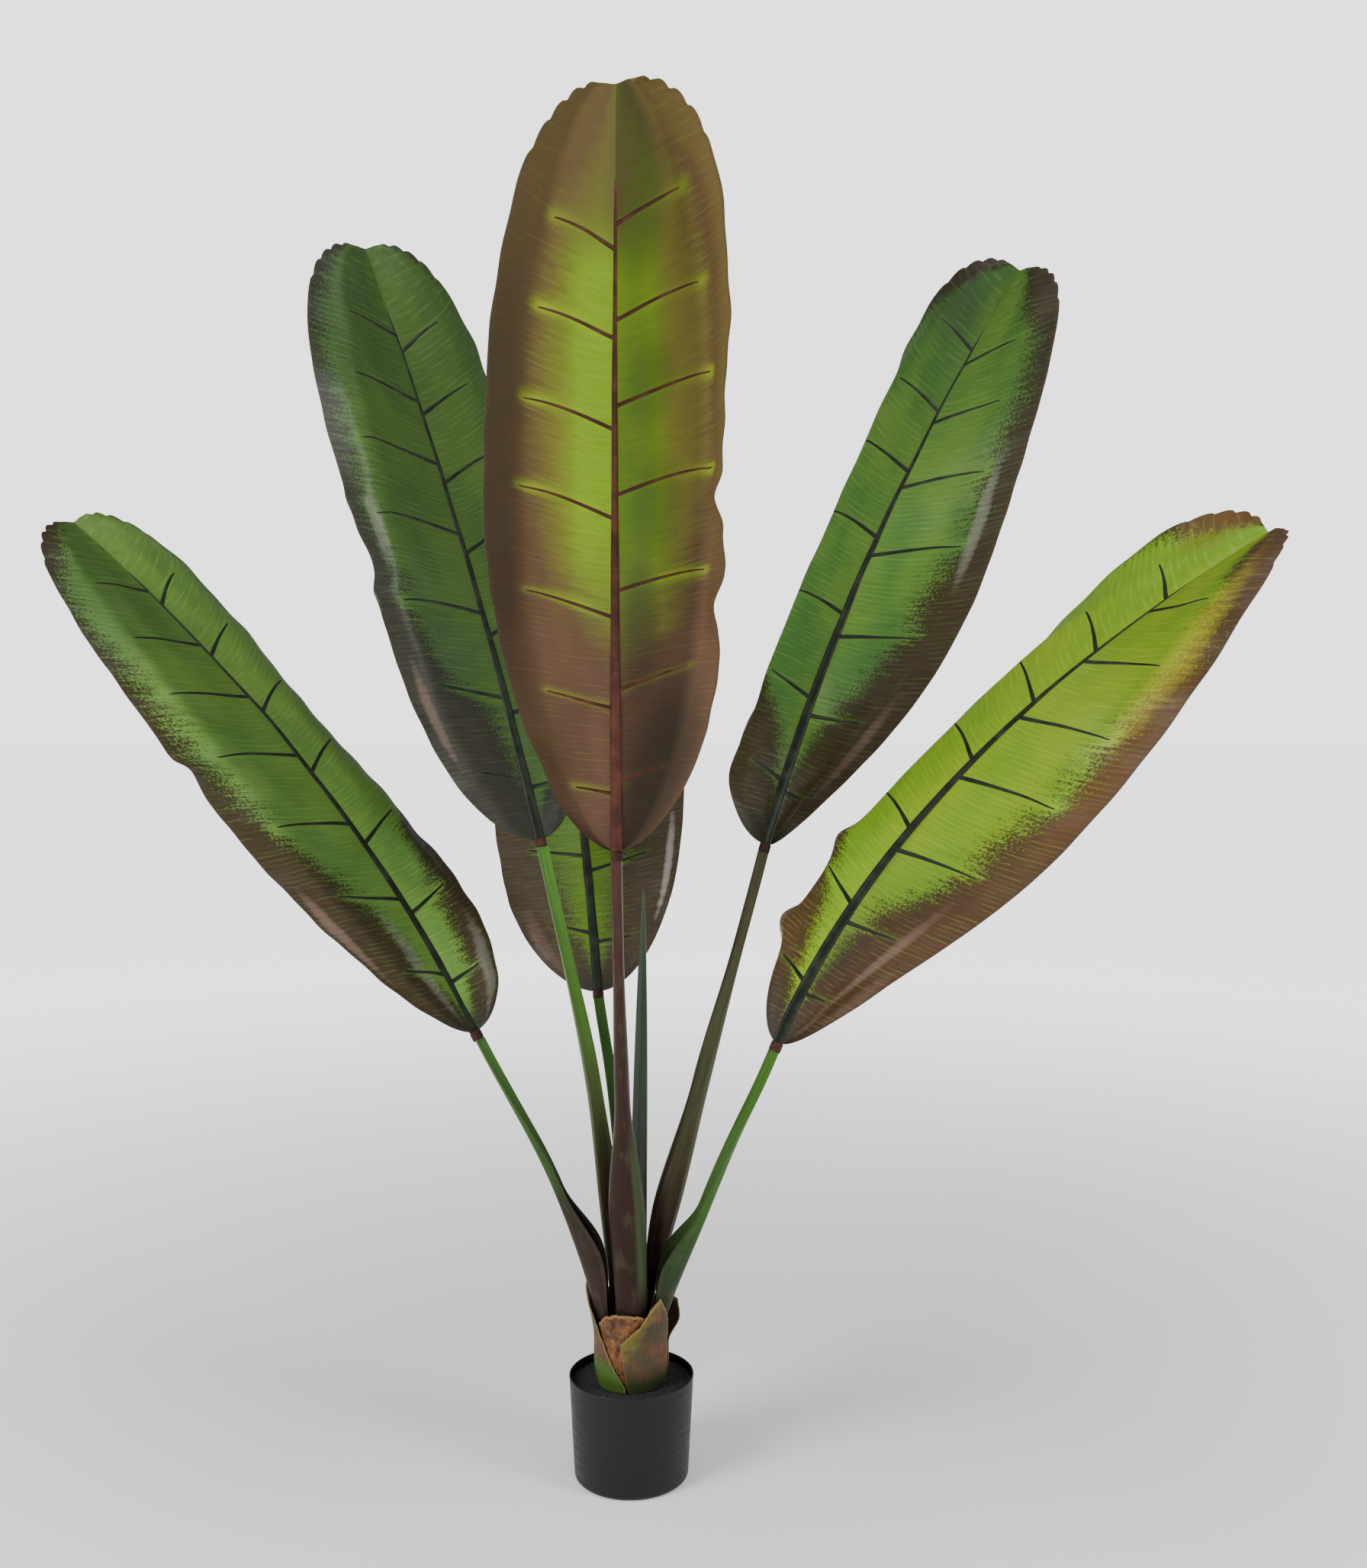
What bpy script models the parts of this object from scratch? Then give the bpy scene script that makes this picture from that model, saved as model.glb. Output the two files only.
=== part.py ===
"""An artificial banana plant, 1.75 m tall, in a black nursery pot.

Six moulded leaves stand on long stalks round a short husk-wrapped stem, with one rolled new leaf among them.
Metres, +Z up. The origin is the centre of the pot's flat underside. The plant's front faces -Y.
"""

import math

import bmesh
import bpy
import numpy as np

# Pot and its filling
RIM_RADIUS = 0.085
BASE_RADIUS = 0.0775
POT_HEIGHT = 0.139
POT_WALL = 0.0022
POT_FLOOR = 0.003
BOTTOM_ROUND = 0.007
SOIL_TOP = 0.129
POT_SIDES = 36
GAP = 0.0003

# Stem and the dry husks round it
STEM_TOP = 0.2
STEM_RADIUS = 0.0438
INNER_HUSK_RADIUS = 0.0446
OUTER_HUSK_RADIUS = 0.0484
HUSK_THICKNESS = 0.003
WAIST_HEIGHT = 0.165
WAIST_PINCH = 0.1
HUSK_STEPS = 10
HUSK_LEVELS = 5

# One blade's mould: every leaf is a bent copy of it
HALF_WIDTH = 0.17
WIDEST = 0.51
BASE_POWER = 1.8
TIP_POWER = 2.8
VEIN_SWEEP = 0.26
VEIN_CURVE = 1.4
NOTCH_DEPTH = 0.012
NOTCH_WIDTH = 0.3
SCALLOP_DEPTH = 0.005
SCALLOP_WIDTH = 0.125
SCALLOP_END = 0.66
CREASE = 0.68
CREASE_SPREAD = 0.12
BLADE_THICKNESS = 0.0096
MARGIN_THICKNESS = 0.0058
MIDRIB_HALF = 0.03
MIDRIB_DEPTH = 0.005
FIRST_STATION = 0.001
BLADE_STATIONS = (0.006, 0.02, 0.05, 0.1, 0.17, 0.25, 0.33, 0.41, 0.49, 0.57, 0.65, 0.73, 0.8, 0.87, 0.92)
TIP_STEPS = 15
BLADE_ACROSS = (0.45, 0.68, 0.85, 1.0)
BEND_STEPS = 8

# Stalks, the collars that join them to the blades, and the rolled new leaf
COLLAR_LENGTH = 0.012
COLLAR_RADIUS = 0.0080
COLLAR_SHAPE = ((0.0, 0.88), (0.35, 1.0), (0.65, 1.0), (1.0, 0.88))
SMALL_SIDES = 12
STALK_ROUNDNESS = 0.8
TOP_GROOVE = 0.2
SHEATH_GROOVE = 0.62
FOOT_FLATNESS = 0.47
FOOT_UPRIGHT = 0.3
NARROWING = 1.6
STALK_RINGS = 13
STALK_ARC = 6
SMALL_STEP = 0.01
LIP = 0.82
SPIKE_TIP = (0.0162, 0.0, 0.797)
SPIKE_FOOT = (0.008, 0.002)
SPIKE_RADIUS = 0.0125
SPIKE_TIP_RADIUS = 0.0015
SPIKE_POWER = 3.0
SPIKE_RINGS = 11

# Leaves. azimuth: the way the leaf leans from the stem. base, tip: the ends of its midrib. bow: how far the
# midrib's middle lies off the straight line between them. roll: its turn about the midrib at base and tip.
# right, left: how each half folds back, inside and outside its crease, at base, middle and tip, in degrees.
# flares: where an outer strip stands out (-) or folds in (+): side, place, half length, degrees.
# foot: where the stalk's back stands on the stem. knee: where its sheath ends. sheath: its width and depth.
LEAVES = {
    "far_left": dict(
        azimuth=180, base=(-0.204, -0.075, 0.620), tip=(-0.800, 0.091, 1.314), bow=(0.049, 0.019, 0.002),
        roll=(-55, -39), width=0.965,
        right=((-18, 21, -8), (5, 44, 20)), left=((-10, -5, -12), (-22, 16, -5)),
        flares=((-1, 0.55, 0.05, -16),),
        foot=(181, 0.0435), knee=(-0.104, -0.037, 0.400), foot_width=0.034, sheath=(0.040, 0.033),
        knee_width=0.0165, top_width=0.0130,
    ),
    "upper_left": dict(
        azimuth=130, base=(-0.125, -0.005, 0.869), tip=(-0.401, 0.175, 1.731), bow=(0.019, 0.004, -0.019),
        roll=(-19, -7), width=0.974, right=((9, 18, -9), (22, 44, 20)), left=((17, -12, -15), (17, 64, -12)),
        flares=((-1, 0.48, 0.08, 14),),
        foot=(128, 0.037), knee=(-0.061, 0.020, 0.530), foot_width=0.022, sheath=(0.032, 0.016),
        knee_width=0.021, top_width=0.0160,
    ),
    "front": dict(
        azimuth=-90, base=(-0.013, -0.163, 0.865), tip=(0.001, -0.512, 1.683), bow=(-0.005, 0.072, 0.008),
        roll=(8, 18), width=0.975, right=((-16, 7, 23), (42, 28, 28)), left=((-1, 16, -14), (-13, 90, 41)),
        flares=((-1, 0.53, 0.04, 10), (-1, 0.38, 0.04, 10)),
        foot=(-87, 0.0435), knee=(-0.009, -0.110, 0.537), foot_width=0.043, sheath=(0.049, 0.020),
        knee_width=0.0205, top_width=0.0145,
    ),
    "upper_right": dict(
        azimuth=45, base=(0.182, -0.030, 0.864), tip=(0.565, 0.151, 1.692), bow=(-0.034, 0.015, -0.002),
        roll=(41, 6), width=0.960, right=((82, 4, -24), (0, -1, -2)), left=((12, 28, -22), (18, 100, 4)),
        flares=((-1, 0.08, 0.08, -20),),
        foot=(50, 0.031), knee=(0.105, 0.002, 0.538), foot_width=0.018, sheath=(0.042, 0.020),
        knee_width=0.0235, top_width=0.0150,
    ),
    "far_right": dict(
        azimuth=0, base=(0.189, -0.179, 0.627), tip=(0.841, -0.078, 1.278), bow=(-0.079, 0.026, 0.014),
        roll=(85, 40), width=0.965, right=((68, 20, -46), (22, 15, -4)), left=((28, 34, 2), (110, 98, -22)),
        flares=((-1, 0.19, 0.07, -50), (-1, 0.33, 0.07, -40)),
        foot=(-5, 0.0435), knee=(0.107, -0.067, 0.385), foot_width=0.034, sheath=(0.043, 0.033),
        knee_width=0.0185, top_width=0.0140,
    ),
    "back": dict(
        azimuth=107, base=(-0.049, 0.054, 0.651), tip=(-0.184, 0.388, 1.519), bow=(0.012, 0.038, -0.038),
        roll=(-12, -12), width=1.037, right=((6, 6, 16), (7, 20, 25)), left=((2, 38, 14), (9, 44, 25)),
        flares=(),
        foot=(88, 0.0435), knee=(-0.032, 0.076, 0.510), foot_width=0.018, sheath=(0.020, 0.010),
        knee_width=0.0165, top_width=0.0150,
    ),
}

# Husks: inner radius; where the flare starts, the height it takes and how far it stands out; and the top edge
# as (azimuth, height) from side to side.
HUSKS = {
    "husk_front_right": (
        OUTER_HUSK_RADIUS, (0.185, 0.060, 0.009),
        ((-106, 0.196), (-92, 0.208), (-76, 0.222), (-62, 0.244), (-47, 0.256), (-16, 0.200)),
    ),
    "husk_front_left": (
        OUTER_HUSK_RADIUS, (0.185, 0.080, 0.0125),
        ((100, 0.228), (150, 0.250), (176, 0.262), (200, 0.228), (216, 0.200), (236, 0.172), (262, 0.136)),
    ),
    "husk_right_back": (
        OUTER_HUSK_RADIUS, (0.180, 0.034, 0.0165),
        ((-3, 0.172), (8, 0.214), (20, 0.232), (60, 0.226), (97, 0.214)),
    ),
    "husk_inner": (
        INNER_HUSK_RADIUS, (0.198, 0.060, 0.011),
        ((-156, 0.212), (-130, 0.231), (-110, 0.237), (-80, 0.236), (-44, 0.222)),
    ),
}
SLANTED_HUSK = "husk_front_right"
SLANT_DEGREES = 13

# Colours: base colour, roughness, metallic
COLOURS = {
    "pot_black": ((0.020, 0.020, 0.021), 0.42, 0.0),
    "soil_black": ((0.010, 0.010, 0.011), 0.9, 0.0),
    "stem_brown": ((0.060, 0.045, 0.030), 0.6, 0.0),
    "husk_brown": ((0.230, 0.090, 0.040), 0.6, 0.0),
    "stalk_green": ((0.065, 0.110, 0.030), 0.45, 0.0),
    "collar_red": ((0.120, 0.050, 0.035), 0.5, 0.0),
    "blade_green": ((0.110, 0.200, 0.045), 0.4, 0.0),
}


def clear_scene():
    for thing in list(bpy.data.objects):
        bpy.data.objects.remove(thing, do_unlink=True)


def make_materials():
    made = {}
    for name, (colour, roughness, metallic) in COLOURS.items():
        material = bpy.data.materials.new(name)
        material.use_nodes = True
        shader = material.node_tree.nodes["Principled BSDF"]
        shader.inputs["Base Color"].default_value = (*colour, 1.0)
        shader.inputs["Roughness"].default_value = roughness
        shader.inputs["Metallic"].default_value = metallic
        made[name] = material
    return made


def smooth(x):
    x = min(max(x, 0.0), 1.0)
    return x * x * (3 - 2 * x)


def unit(vector):
    return vector / np.linalg.norm(vector)


def square_to(vector, axis):
    """The part of vector at right angles to the unit vector axis, made one long."""
    return unit(vector - vector.dot(axis) * axis)


def compass(degrees):
    angle = math.radians(degrees)
    return np.array((math.cos(angle), math.sin(angle), 0.0))


def three_point(values, s):
    """The smooth curve through a value at 0, one at the middle and one at 1."""
    first, middle, last = values
    s = min(max(s, 0.0), 1.0)
    return first * (1 - s) * (1 - 2 * s) + 4 * middle * s * (1 - s) + last * s * (2 * s - 1)


def ring_solid(name, rings, material):
    """A closed solid through rings of points that run out along one side and back along the other."""
    mesh = bmesh.new()
    corners = [[mesh.verts.new(point) for point in ring] for ring in rings]
    count = len(rings[0])
    for ring, following in zip(corners, corners[1:]):
        for i in range(count):
            j = (i + 1) % count
            mesh.faces.new((ring[i], ring[j], following[j], following[i]))
    for cap in (corners[0], corners[-1]):
        for i in range(count // 2 - 1):
            mesh.faces.new((cap[i], cap[i + 1], cap[count - 2 - i], cap[count - 1 - i]))
    bmesh.ops.recalc_face_normals(mesh, faces=mesh.faces)
    bmesh.ops.triangulate(mesh, faces=mesh.faces)
    data = bpy.data.meshes.new(name)
    mesh.to_mesh(data)
    mesh.free()
    data.shade_smooth()
    data.set_sharp_from_angle(angle=math.radians(40))
    data.materials.append(material)
    solid = bpy.data.objects.new(name, data)
    bpy.context.scene.collection.objects.link(solid)
    return solid


def circle(radius, height):
    turns = [2 * math.pi * i / POT_SIDES for i in range(POT_SIDES)]
    return [(radius * math.cos(a), radius * math.sin(a), height) for a in turns]


# Pot and soil
def pot_radius(height):
    """The pot's outer radius."""
    return BASE_RADIUS + (RIM_RADIUS - BASE_RADIUS) * height / POT_HEIGHT


def make_pot(materials):
    rings = []
    for step in range(4):
        angle = math.radians(30 * step)
        height = BOTTOM_ROUND * (1 - math.cos(angle))
        rings.append(circle(pot_radius(height) - BOTTOM_ROUND * (1 - math.sin(angle)), height))
    rings.append(circle(RIM_RADIUS, POT_HEIGHT))
    rings.append(circle(RIM_RADIUS - POT_WALL, POT_HEIGHT))
    inner_foot = POT_FLOOR + BOTTOM_ROUND
    rings.append(circle(pot_radius(inner_foot) - POT_WALL, inner_foot))
    rings.append(circle(pot_radius(POT_FLOOR) - POT_WALL - BOTTOM_ROUND, POT_FLOOR))
    ring_solid("pot", rings, materials["pot_black"])


def make_soil(materials):
    """The weighted filling with its black top, clear of the pot's wall and floor."""
    low = POT_FLOOR + GAP
    shoulder = POT_FLOOR + BOTTOM_ROUND
    inset = POT_WALL + 2 * GAP
    rings = [
        circle(pot_radius(low) - inset - BOTTOM_ROUND, low),
        circle(pot_radius(shoulder) - inset, shoulder),
        circle(pot_radius(SOIL_TOP) - inset, SOIL_TOP),
    ]
    ring_solid("soil", rings, materials["soil_black"])


# Stem and husks
def waist(height):
    """How the stem and its husks narrow to the soil."""
    below = max(WAIST_HEIGHT - height, 0) / (WAIST_HEIGHT - SOIL_TOP)
    return 1 - WAIST_PINCH * below**2


def make_stem(materials):
    low = SOIL_TOP + GAP
    levels = [low + (STEM_TOP - low) * i / 4 for i in range(5)]
    rings = [circle(STEM_RADIUS * waist(z), z) for z in levels]
    ring_solid("stem", rings, materials["stem_brown"])


def edge_height(edge, azimuth):
    angles, heights = zip(*edge)
    for i in range(len(edge) - 1):
        if azimuth <= angles[i + 1]:
            break
    along = (azimuth - angles[i]) / (angles[i + 1] - angles[i])
    return heights[i] + (heights[i + 1] - heights[i]) * along


def husk_point(radius, flare, azimuth, height):
    start, rise, reach = flare
    out = reach * smooth((height - start) / rise)
    return compass(azimuth) * (radius * waist(height) + out) + np.array((0, 0, height))


def make_husk(name, radius, flare, edge, materials):
    low = SOIL_TOP + GAP
    start, end = edge[0][0], edge[-1][0]
    rings = []
    for step in range(HUSK_STEPS + 1):
        along = step / HUSK_STEPS
        azimuth = start + (end - start) * along
        top = edge_height(edge, azimuth)
        inner, outer = [], []
        for level in range(HUSK_LEVELS + 1):
            height = low + (top - low) * level / HUSK_LEVELS
            slant = 0.0
            if name == SLANTED_HUSK:
                slant = SLANT_DEGREES * (1 - along) * (1 - level / HUSK_LEVELS)
            inner.append(husk_point(radius, flare, azimuth + slant, height))
            outer.append(husk_point(radius + HUSK_THICKNESS, flare, azimuth + slant, height))
        rings.append(inner + outer[::-1])
    ring_solid(name, rings, materials["husk_brown"])


# Blades
def half_width(t):
    """How far the blade reaches each side of its midrib, as a share of its widest, at station t."""
    if t < WIDEST:
        below = (WIDEST - t) / WIDEST
        return (1 - below**BASE_POWER) ** (1 / BASE_POWER)
    above = (t - WIDEST) / (1 - WIDEST)
    return (1 - above**TIP_POWER) ** (1 / TIP_POWER)


def station_of(share):
    """The station beyond the widest where the blade is this share of its widest."""
    above = (1 - share**TIP_POWER) ** (1 / TIP_POWER)
    return WIDEST + (1 - WIDEST) * above


def scallop(t, share):
    """The small waves that the tip's edge ends in."""
    if t < WIDEST or share > SCALLOP_END:
        return 0.0
    return SCALLOP_DEPTH * (abs(math.sin(math.pi * share / SCALLOP_WIDTH)) - 1)


def along_midrib(t, v):
    """How far along the midrib the vein of station t has come, at share v of its reach."""
    share = half_width(t)
    sweep = VEIN_SWEEP * t**1.5 * math.sqrt(1 - t)
    notch = 0.0
    if t > WIDEST:
        notch = NOTCH_DEPTH * max(1 - share / NOTCH_WIDTH, 0) ** 2
    return t - sweep + sweep * v**VEIN_CURVE - notch + scallop(t, share) * v**8


def midrib_frame(leaf, s):
    """Point, forward, sideways and upper-side directions of the bent midrib at s."""
    base, tip, bow = (np.array(leaf[key]) for key in ("base", "tip", "bow"))
    k = s / (1 - NOTCH_DEPTH)
    point = base * (1 - k) + tip * k + 4 * k * (1 - k) * bow
    forward = unit(tip - base + (4 - 8 * k) * bow)
    flat = square_to(-compass(leaf["azimuth"]), forward)
    roll = math.radians(leaf["roll"][0] * (1 - s) + leaf["roll"][1] * s)
    upper = flat * math.cos(roll) + np.cross(forward, flat) * math.sin(roll)
    return point, forward, np.cross(forward, upper), upper


def fold_angle(leaf, hand, s, v):
    """How far the half blade has folded back at share v of its reach. hand: 1 right, -1 left."""
    inner, outer = leaf["right"] if hand > 0 else leaf["left"]
    beyond = three_point(outer, s)
    for flare_hand, place, half_length, degrees in leaf["flares"]:
        if flare_hand == hand:
            beyond += degrees * smooth(1 - abs(s - place) / half_length)
    turned = smooth((v - CREASE + CREASE_SPREAD) / (2 * CREASE_SPREAD))
    return math.radians(three_point(inner, s) * (1 - turned) + beyond * turned)


def blade_point(leaf, hand, t, v):
    """A point of the blade's middle layer and the upper side's direction there."""
    s = along_midrib(t, v)
    point, _, side, upper = midrib_frame(leaf, s)
    reach = HALF_WIDTH * leaf["width"] * half_width(t) * v
    across = back = 0.0
    for step in range(BEND_STEPS):
        angle = fold_angle(leaf, hand, s, v * (step + 0.5) / BEND_STEPS)
        across += math.cos(angle) * reach / BEND_STEPS
        back += math.sin(angle) * reach / BEND_STEPS
    angle = fold_angle(leaf, hand, s, v)
    normal = upper * math.cos(angle) + hand * side * math.sin(angle)
    return point + hand * side * across - upper * back, normal


def blade_stations():
    first_share = SCALLOP_END * (1 - 0.5 / TIP_STEPS)
    tips = [station_of(first_share * (1 - i / TIP_STEPS)) for i in range(TIP_STEPS)]
    return [FIRST_STATION, *BLADE_STATIONS, *tips]


def make_blade(name, leaf, materials):
    shares = [-v for v in reversed(BLADE_ACROSS)] + [-MIDRIB_HALF, 0.0, MIDRIB_HALF, *BLADE_ACROSS]
    rings = []
    for t in blade_stations():
        over, under = [], []
        for share in shares:
            hand = 1 if share > 0 else -1
            point, normal = blade_point(leaf, hand, t, abs(share))
            if share == 0:
                normal = unit(normal + blade_point(leaf, 1, t, 0.0)[1])
            thick = BLADE_THICKNESS if abs(share) < 1 else MARGIN_THICKNESS
            ridge = MIDRIB_DEPTH * (1 - t) if abs(share) <= MIDRIB_HALF else 0.0
            over.append(point + normal * thick / 2)
            under.append(point - normal * (thick / 2 + ridge))
        rings.append(over + under[::-1])
    ring_solid("blade_" + name, rings, materials["blade_green"])


# Stalks, collars and the rolled new leaf
def round_ways(first, second):
    """Directions all round in the plane of two square directions."""
    turns = [2 * math.pi * i / SMALL_SIDES for i in range(SMALL_SIDES)]
    return [first * math.cos(a) + second * math.sin(a) for a in turns]


def collar_ends(leaf):
    """The collar's two end points and the midrib's directions there."""
    start = along_midrib(FIRST_STATION, 0.0)
    point, forward, side, upper = midrib_frame(leaf, start)
    top = point - forward * GAP
    return top - forward * COLLAR_LENGTH, top, forward, side, upper


def make_collar(name, leaf, materials):
    low, top, _, side, upper = collar_ends(leaf)
    rings = []
    for k, share in COLLAR_SHAPE:
        centre = low + (top - low) * k
        rings.append([centre + COLLAR_RADIUS * share * way for way in round_ways(side, upper)])
    ring_solid("collar_" + name, rings, materials["collar_red"])


def hermite(first, first_way, last, last_way, s):
    """A point of the smooth curve that leaves first one way and comes into last another way."""
    span = np.linalg.norm(last - first)
    a, b = 2 * s**3 - 3 * s**2 + 1, s**3 - 2 * s**2 + s
    c, d = 3 * s**2 - 2 * s**3, s**3 - s**2
    return a * first + b * span * first_way + c * last + d * span * last_way


def stalk_back(leaf, k):
    """The line down the stalk's back: k runs from 0 at the stem to 1 at the knee and 2 at the collar."""
    angle, radius = leaf["foot"]
    foot = compass(angle) * radius + np.array((0, 0, STEM_TOP + GAP))
    knee = np.array(leaf["knee"])
    low, _, forward, _, upper = collar_ends(leaf)
    top = low - forward * GAP - upper * leaf["top_width"] * STALK_ROUNDNESS / 2
    foot_way = unit(unit(knee - foot) + np.array((0, 0, FOOT_UPRIGHT)))
    knee_way = unit(unit(knee - foot) + unit(top - knee))
    top_way = unit(forward + 2 * unit(top - knee))
    if k < 1:
        return hermite(foot, foot_way, knee, knee_way, k)
    return hermite(knee, knee_way, top, top_way, k - 1)


def stalk_size(leaf, k):
    """Width, depth and groove of the stalk's section at k."""
    wide, deep = leaf["sheath"]
    if k > 1:
        width = leaf["knee_width"] + (leaf["top_width"] - leaf["knee_width"]) * smooth(NARROWING * (k - 1))
        return width, width * STALK_ROUNDNESS, TOP_GROOVE
    swell, closing = smooth(2 * k), smooth(2 * k - 1)
    width = leaf["foot_width"] * (1 - swell) + wide * swell
    depth = leaf["foot_width"] * FOOT_FLATNESS * (1 - swell) + deep * swell
    width = width * (1 - closing) + leaf["knee_width"] * closing
    depth = depth * (1 - closing) + leaf["knee_width"] * STALK_ROUNDNESS * closing
    return width, depth, SHEATH_GROOVE * (1 - closing) + TOP_GROOVE * closing


def stalk_frame(leaf, k):
    """The stalk's back point, the way it runs and its outward and sideways directions at k."""
    back = stalk_back(leaf, k)
    if k == 0:
        forward, outward = np.array((0.0, 0.0, 1.0)), compass(leaf["foot"][0])
        return back, outward, np.cross(outward, forward)
    _, _, forward, _, upper = collar_ends(leaf)
    if k < 2:
        forward = unit(stalk_back(leaf, k + SMALL_STEP) - back)
    turned = smooth(k - 1)
    outward = square_to(compass(leaf["azimuth"]) * (1 - turned) - upper * turned, forward)
    return back, outward, np.cross(outward, forward)


def make_stalk(name, leaf, materials):
    """A stalk that is a deep open sheath low down and a shallow channel above, hollow towards the plant."""
    rings = []
    for step in range(STALK_RINGS):
        k = 2 * step / (STALK_RINGS - 1)
        back, outward, side = stalk_frame(leaf, k)
        width, depth, groove = stalk_size(leaf, k)
        lips = back - outward * depth
        outer, inner = [], []
        for i in range(STALK_ARC + 1):
            a = math.pi * i / STALK_ARC
            outer.append(lips + side * math.cos(a) * width / 2 + outward * math.sin(a) * depth)
            inner.append(lips + side * math.cos(a) * LIP * width / 2 + outward * math.sin(a) * depth * groove)
        rings.append(outer + inner[::-1])
    ring_solid("stalk_" + name, rings, materials["stalk_green"])


def make_spike(materials):
    """The new leaf, still rolled, between the stalks."""
    foot = np.array((*SPIKE_FOOT, STEM_TOP + GAP))
    tip = np.array(SPIKE_TIP)
    east, north, up = np.eye(3)
    rings = []
    for step in range(SPIKE_RINGS):
        k = step / (SPIKE_RINGS - 1)
        point = hermite(foot, up, tip, unit(tip - foot), k)
        radius = SPIKE_TIP_RADIUS + (SPIKE_RADIUS - SPIKE_TIP_RADIUS) * (1 - k**SPIKE_POWER)
        rings.append([point + radius * way for way in round_ways(east, north)])
    ring_solid("new_leaf", rings, materials["stalk_green"])


def main():
    clear_scene()
    materials = make_materials()
    make_pot(materials)
    make_soil(materials)
    make_stem(materials)
    for name, (radius, flare, edge) in HUSKS.items():
        make_husk(name, radius, flare, edge, materials)
    for name, leaf in LEAVES.items():
        make_stalk(name, leaf, materials)
        make_collar(name, leaf, materials)
        make_blade(name, leaf, materials)
    make_spike(materials)


main()
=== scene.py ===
import math

import bpy
import numpy as np
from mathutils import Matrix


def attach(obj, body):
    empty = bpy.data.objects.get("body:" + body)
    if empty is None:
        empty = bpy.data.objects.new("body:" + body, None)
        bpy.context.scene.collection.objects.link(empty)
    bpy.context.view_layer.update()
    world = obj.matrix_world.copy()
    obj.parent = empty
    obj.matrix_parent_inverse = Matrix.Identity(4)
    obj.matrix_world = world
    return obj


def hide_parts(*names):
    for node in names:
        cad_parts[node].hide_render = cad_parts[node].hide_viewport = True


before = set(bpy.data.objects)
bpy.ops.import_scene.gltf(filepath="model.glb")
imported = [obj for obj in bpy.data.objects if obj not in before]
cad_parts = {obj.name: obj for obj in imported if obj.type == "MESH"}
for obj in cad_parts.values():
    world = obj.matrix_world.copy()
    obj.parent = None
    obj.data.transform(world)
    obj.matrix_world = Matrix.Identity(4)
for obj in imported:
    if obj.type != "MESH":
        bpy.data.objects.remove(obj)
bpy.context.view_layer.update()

# The leaf mould, as the solids have it
HALF_WIDTH = 0.17
WIDEST = 0.51
BASE_POWER = 1.8
TIP_POWER = 2.8
VEIN_SWEEP = 0.26
VEIN_CURVE = 1.4
NOTCH_DEPTH = 0.012
NOTCH_WIDTH = 0.3
SCALLOP_DEPTH = 0.006
SCALLOP_WIDTH = 0.125
SCALLOP_END = 0.66
CREASE = 0.68
CREASE_SPREAD = 0.12
BEND_STEPS = 12
GAP = 0.0003

# The moulded cloth of a leaf
SHEET = 0.0012
LEAF_ROWS = 260
HALF_COLUMNS = 34
FIRST_ROW = 0.0012
ROW_SPAN = 0.9983
MARGIN_THINNING = 0.45
BLADE_LENGTH = 0.93
RIBS_LEFT = ((0.108, 0.125, 0.135), (0.268, 0.285, 0.295), (0.436, 0.447, 0.44), (0.588, 0.597, 0.585),
             (0.713, 0.72, 0.71), (0.817, 0.825, 0.815), (0.912, 0.918, 0.912))
RIBS_RIGHT = ((0.092, 0.097, 0.1), (0.237, 0.247, 0.255), (0.392, 0.408, 0.411), (0.552, 0.569, 0.566),
              (0.682, 0.695, 0.688), (0.797, 0.808, 0.802), (0.89, 0.902, 0.898))
RIB_REACH = (0.58, 0.62, 0.68, 0.72, 0.7, 0.64, 0.6)

# Ribs, on the upper side and then on the underside
SIDE_RIB_WIDTH = (0.0068, 0.005)
SIDE_RIB_HEIGHT = (0.001, 0.0016)
MIDRIB_WIDTH = (0.0125, 0.014)
MIDRIB_HEIGHT = (0.0016, 0.0046)
RIB_SINK = 0.0002

# Fine lines and moulded grooves across a leaf, counted along it, the grooves in radians
VEIN_LINES = 112.0
GROOVE_TURN = 703.0

# A whole turn in radians
TURN = 6.2832

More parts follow.
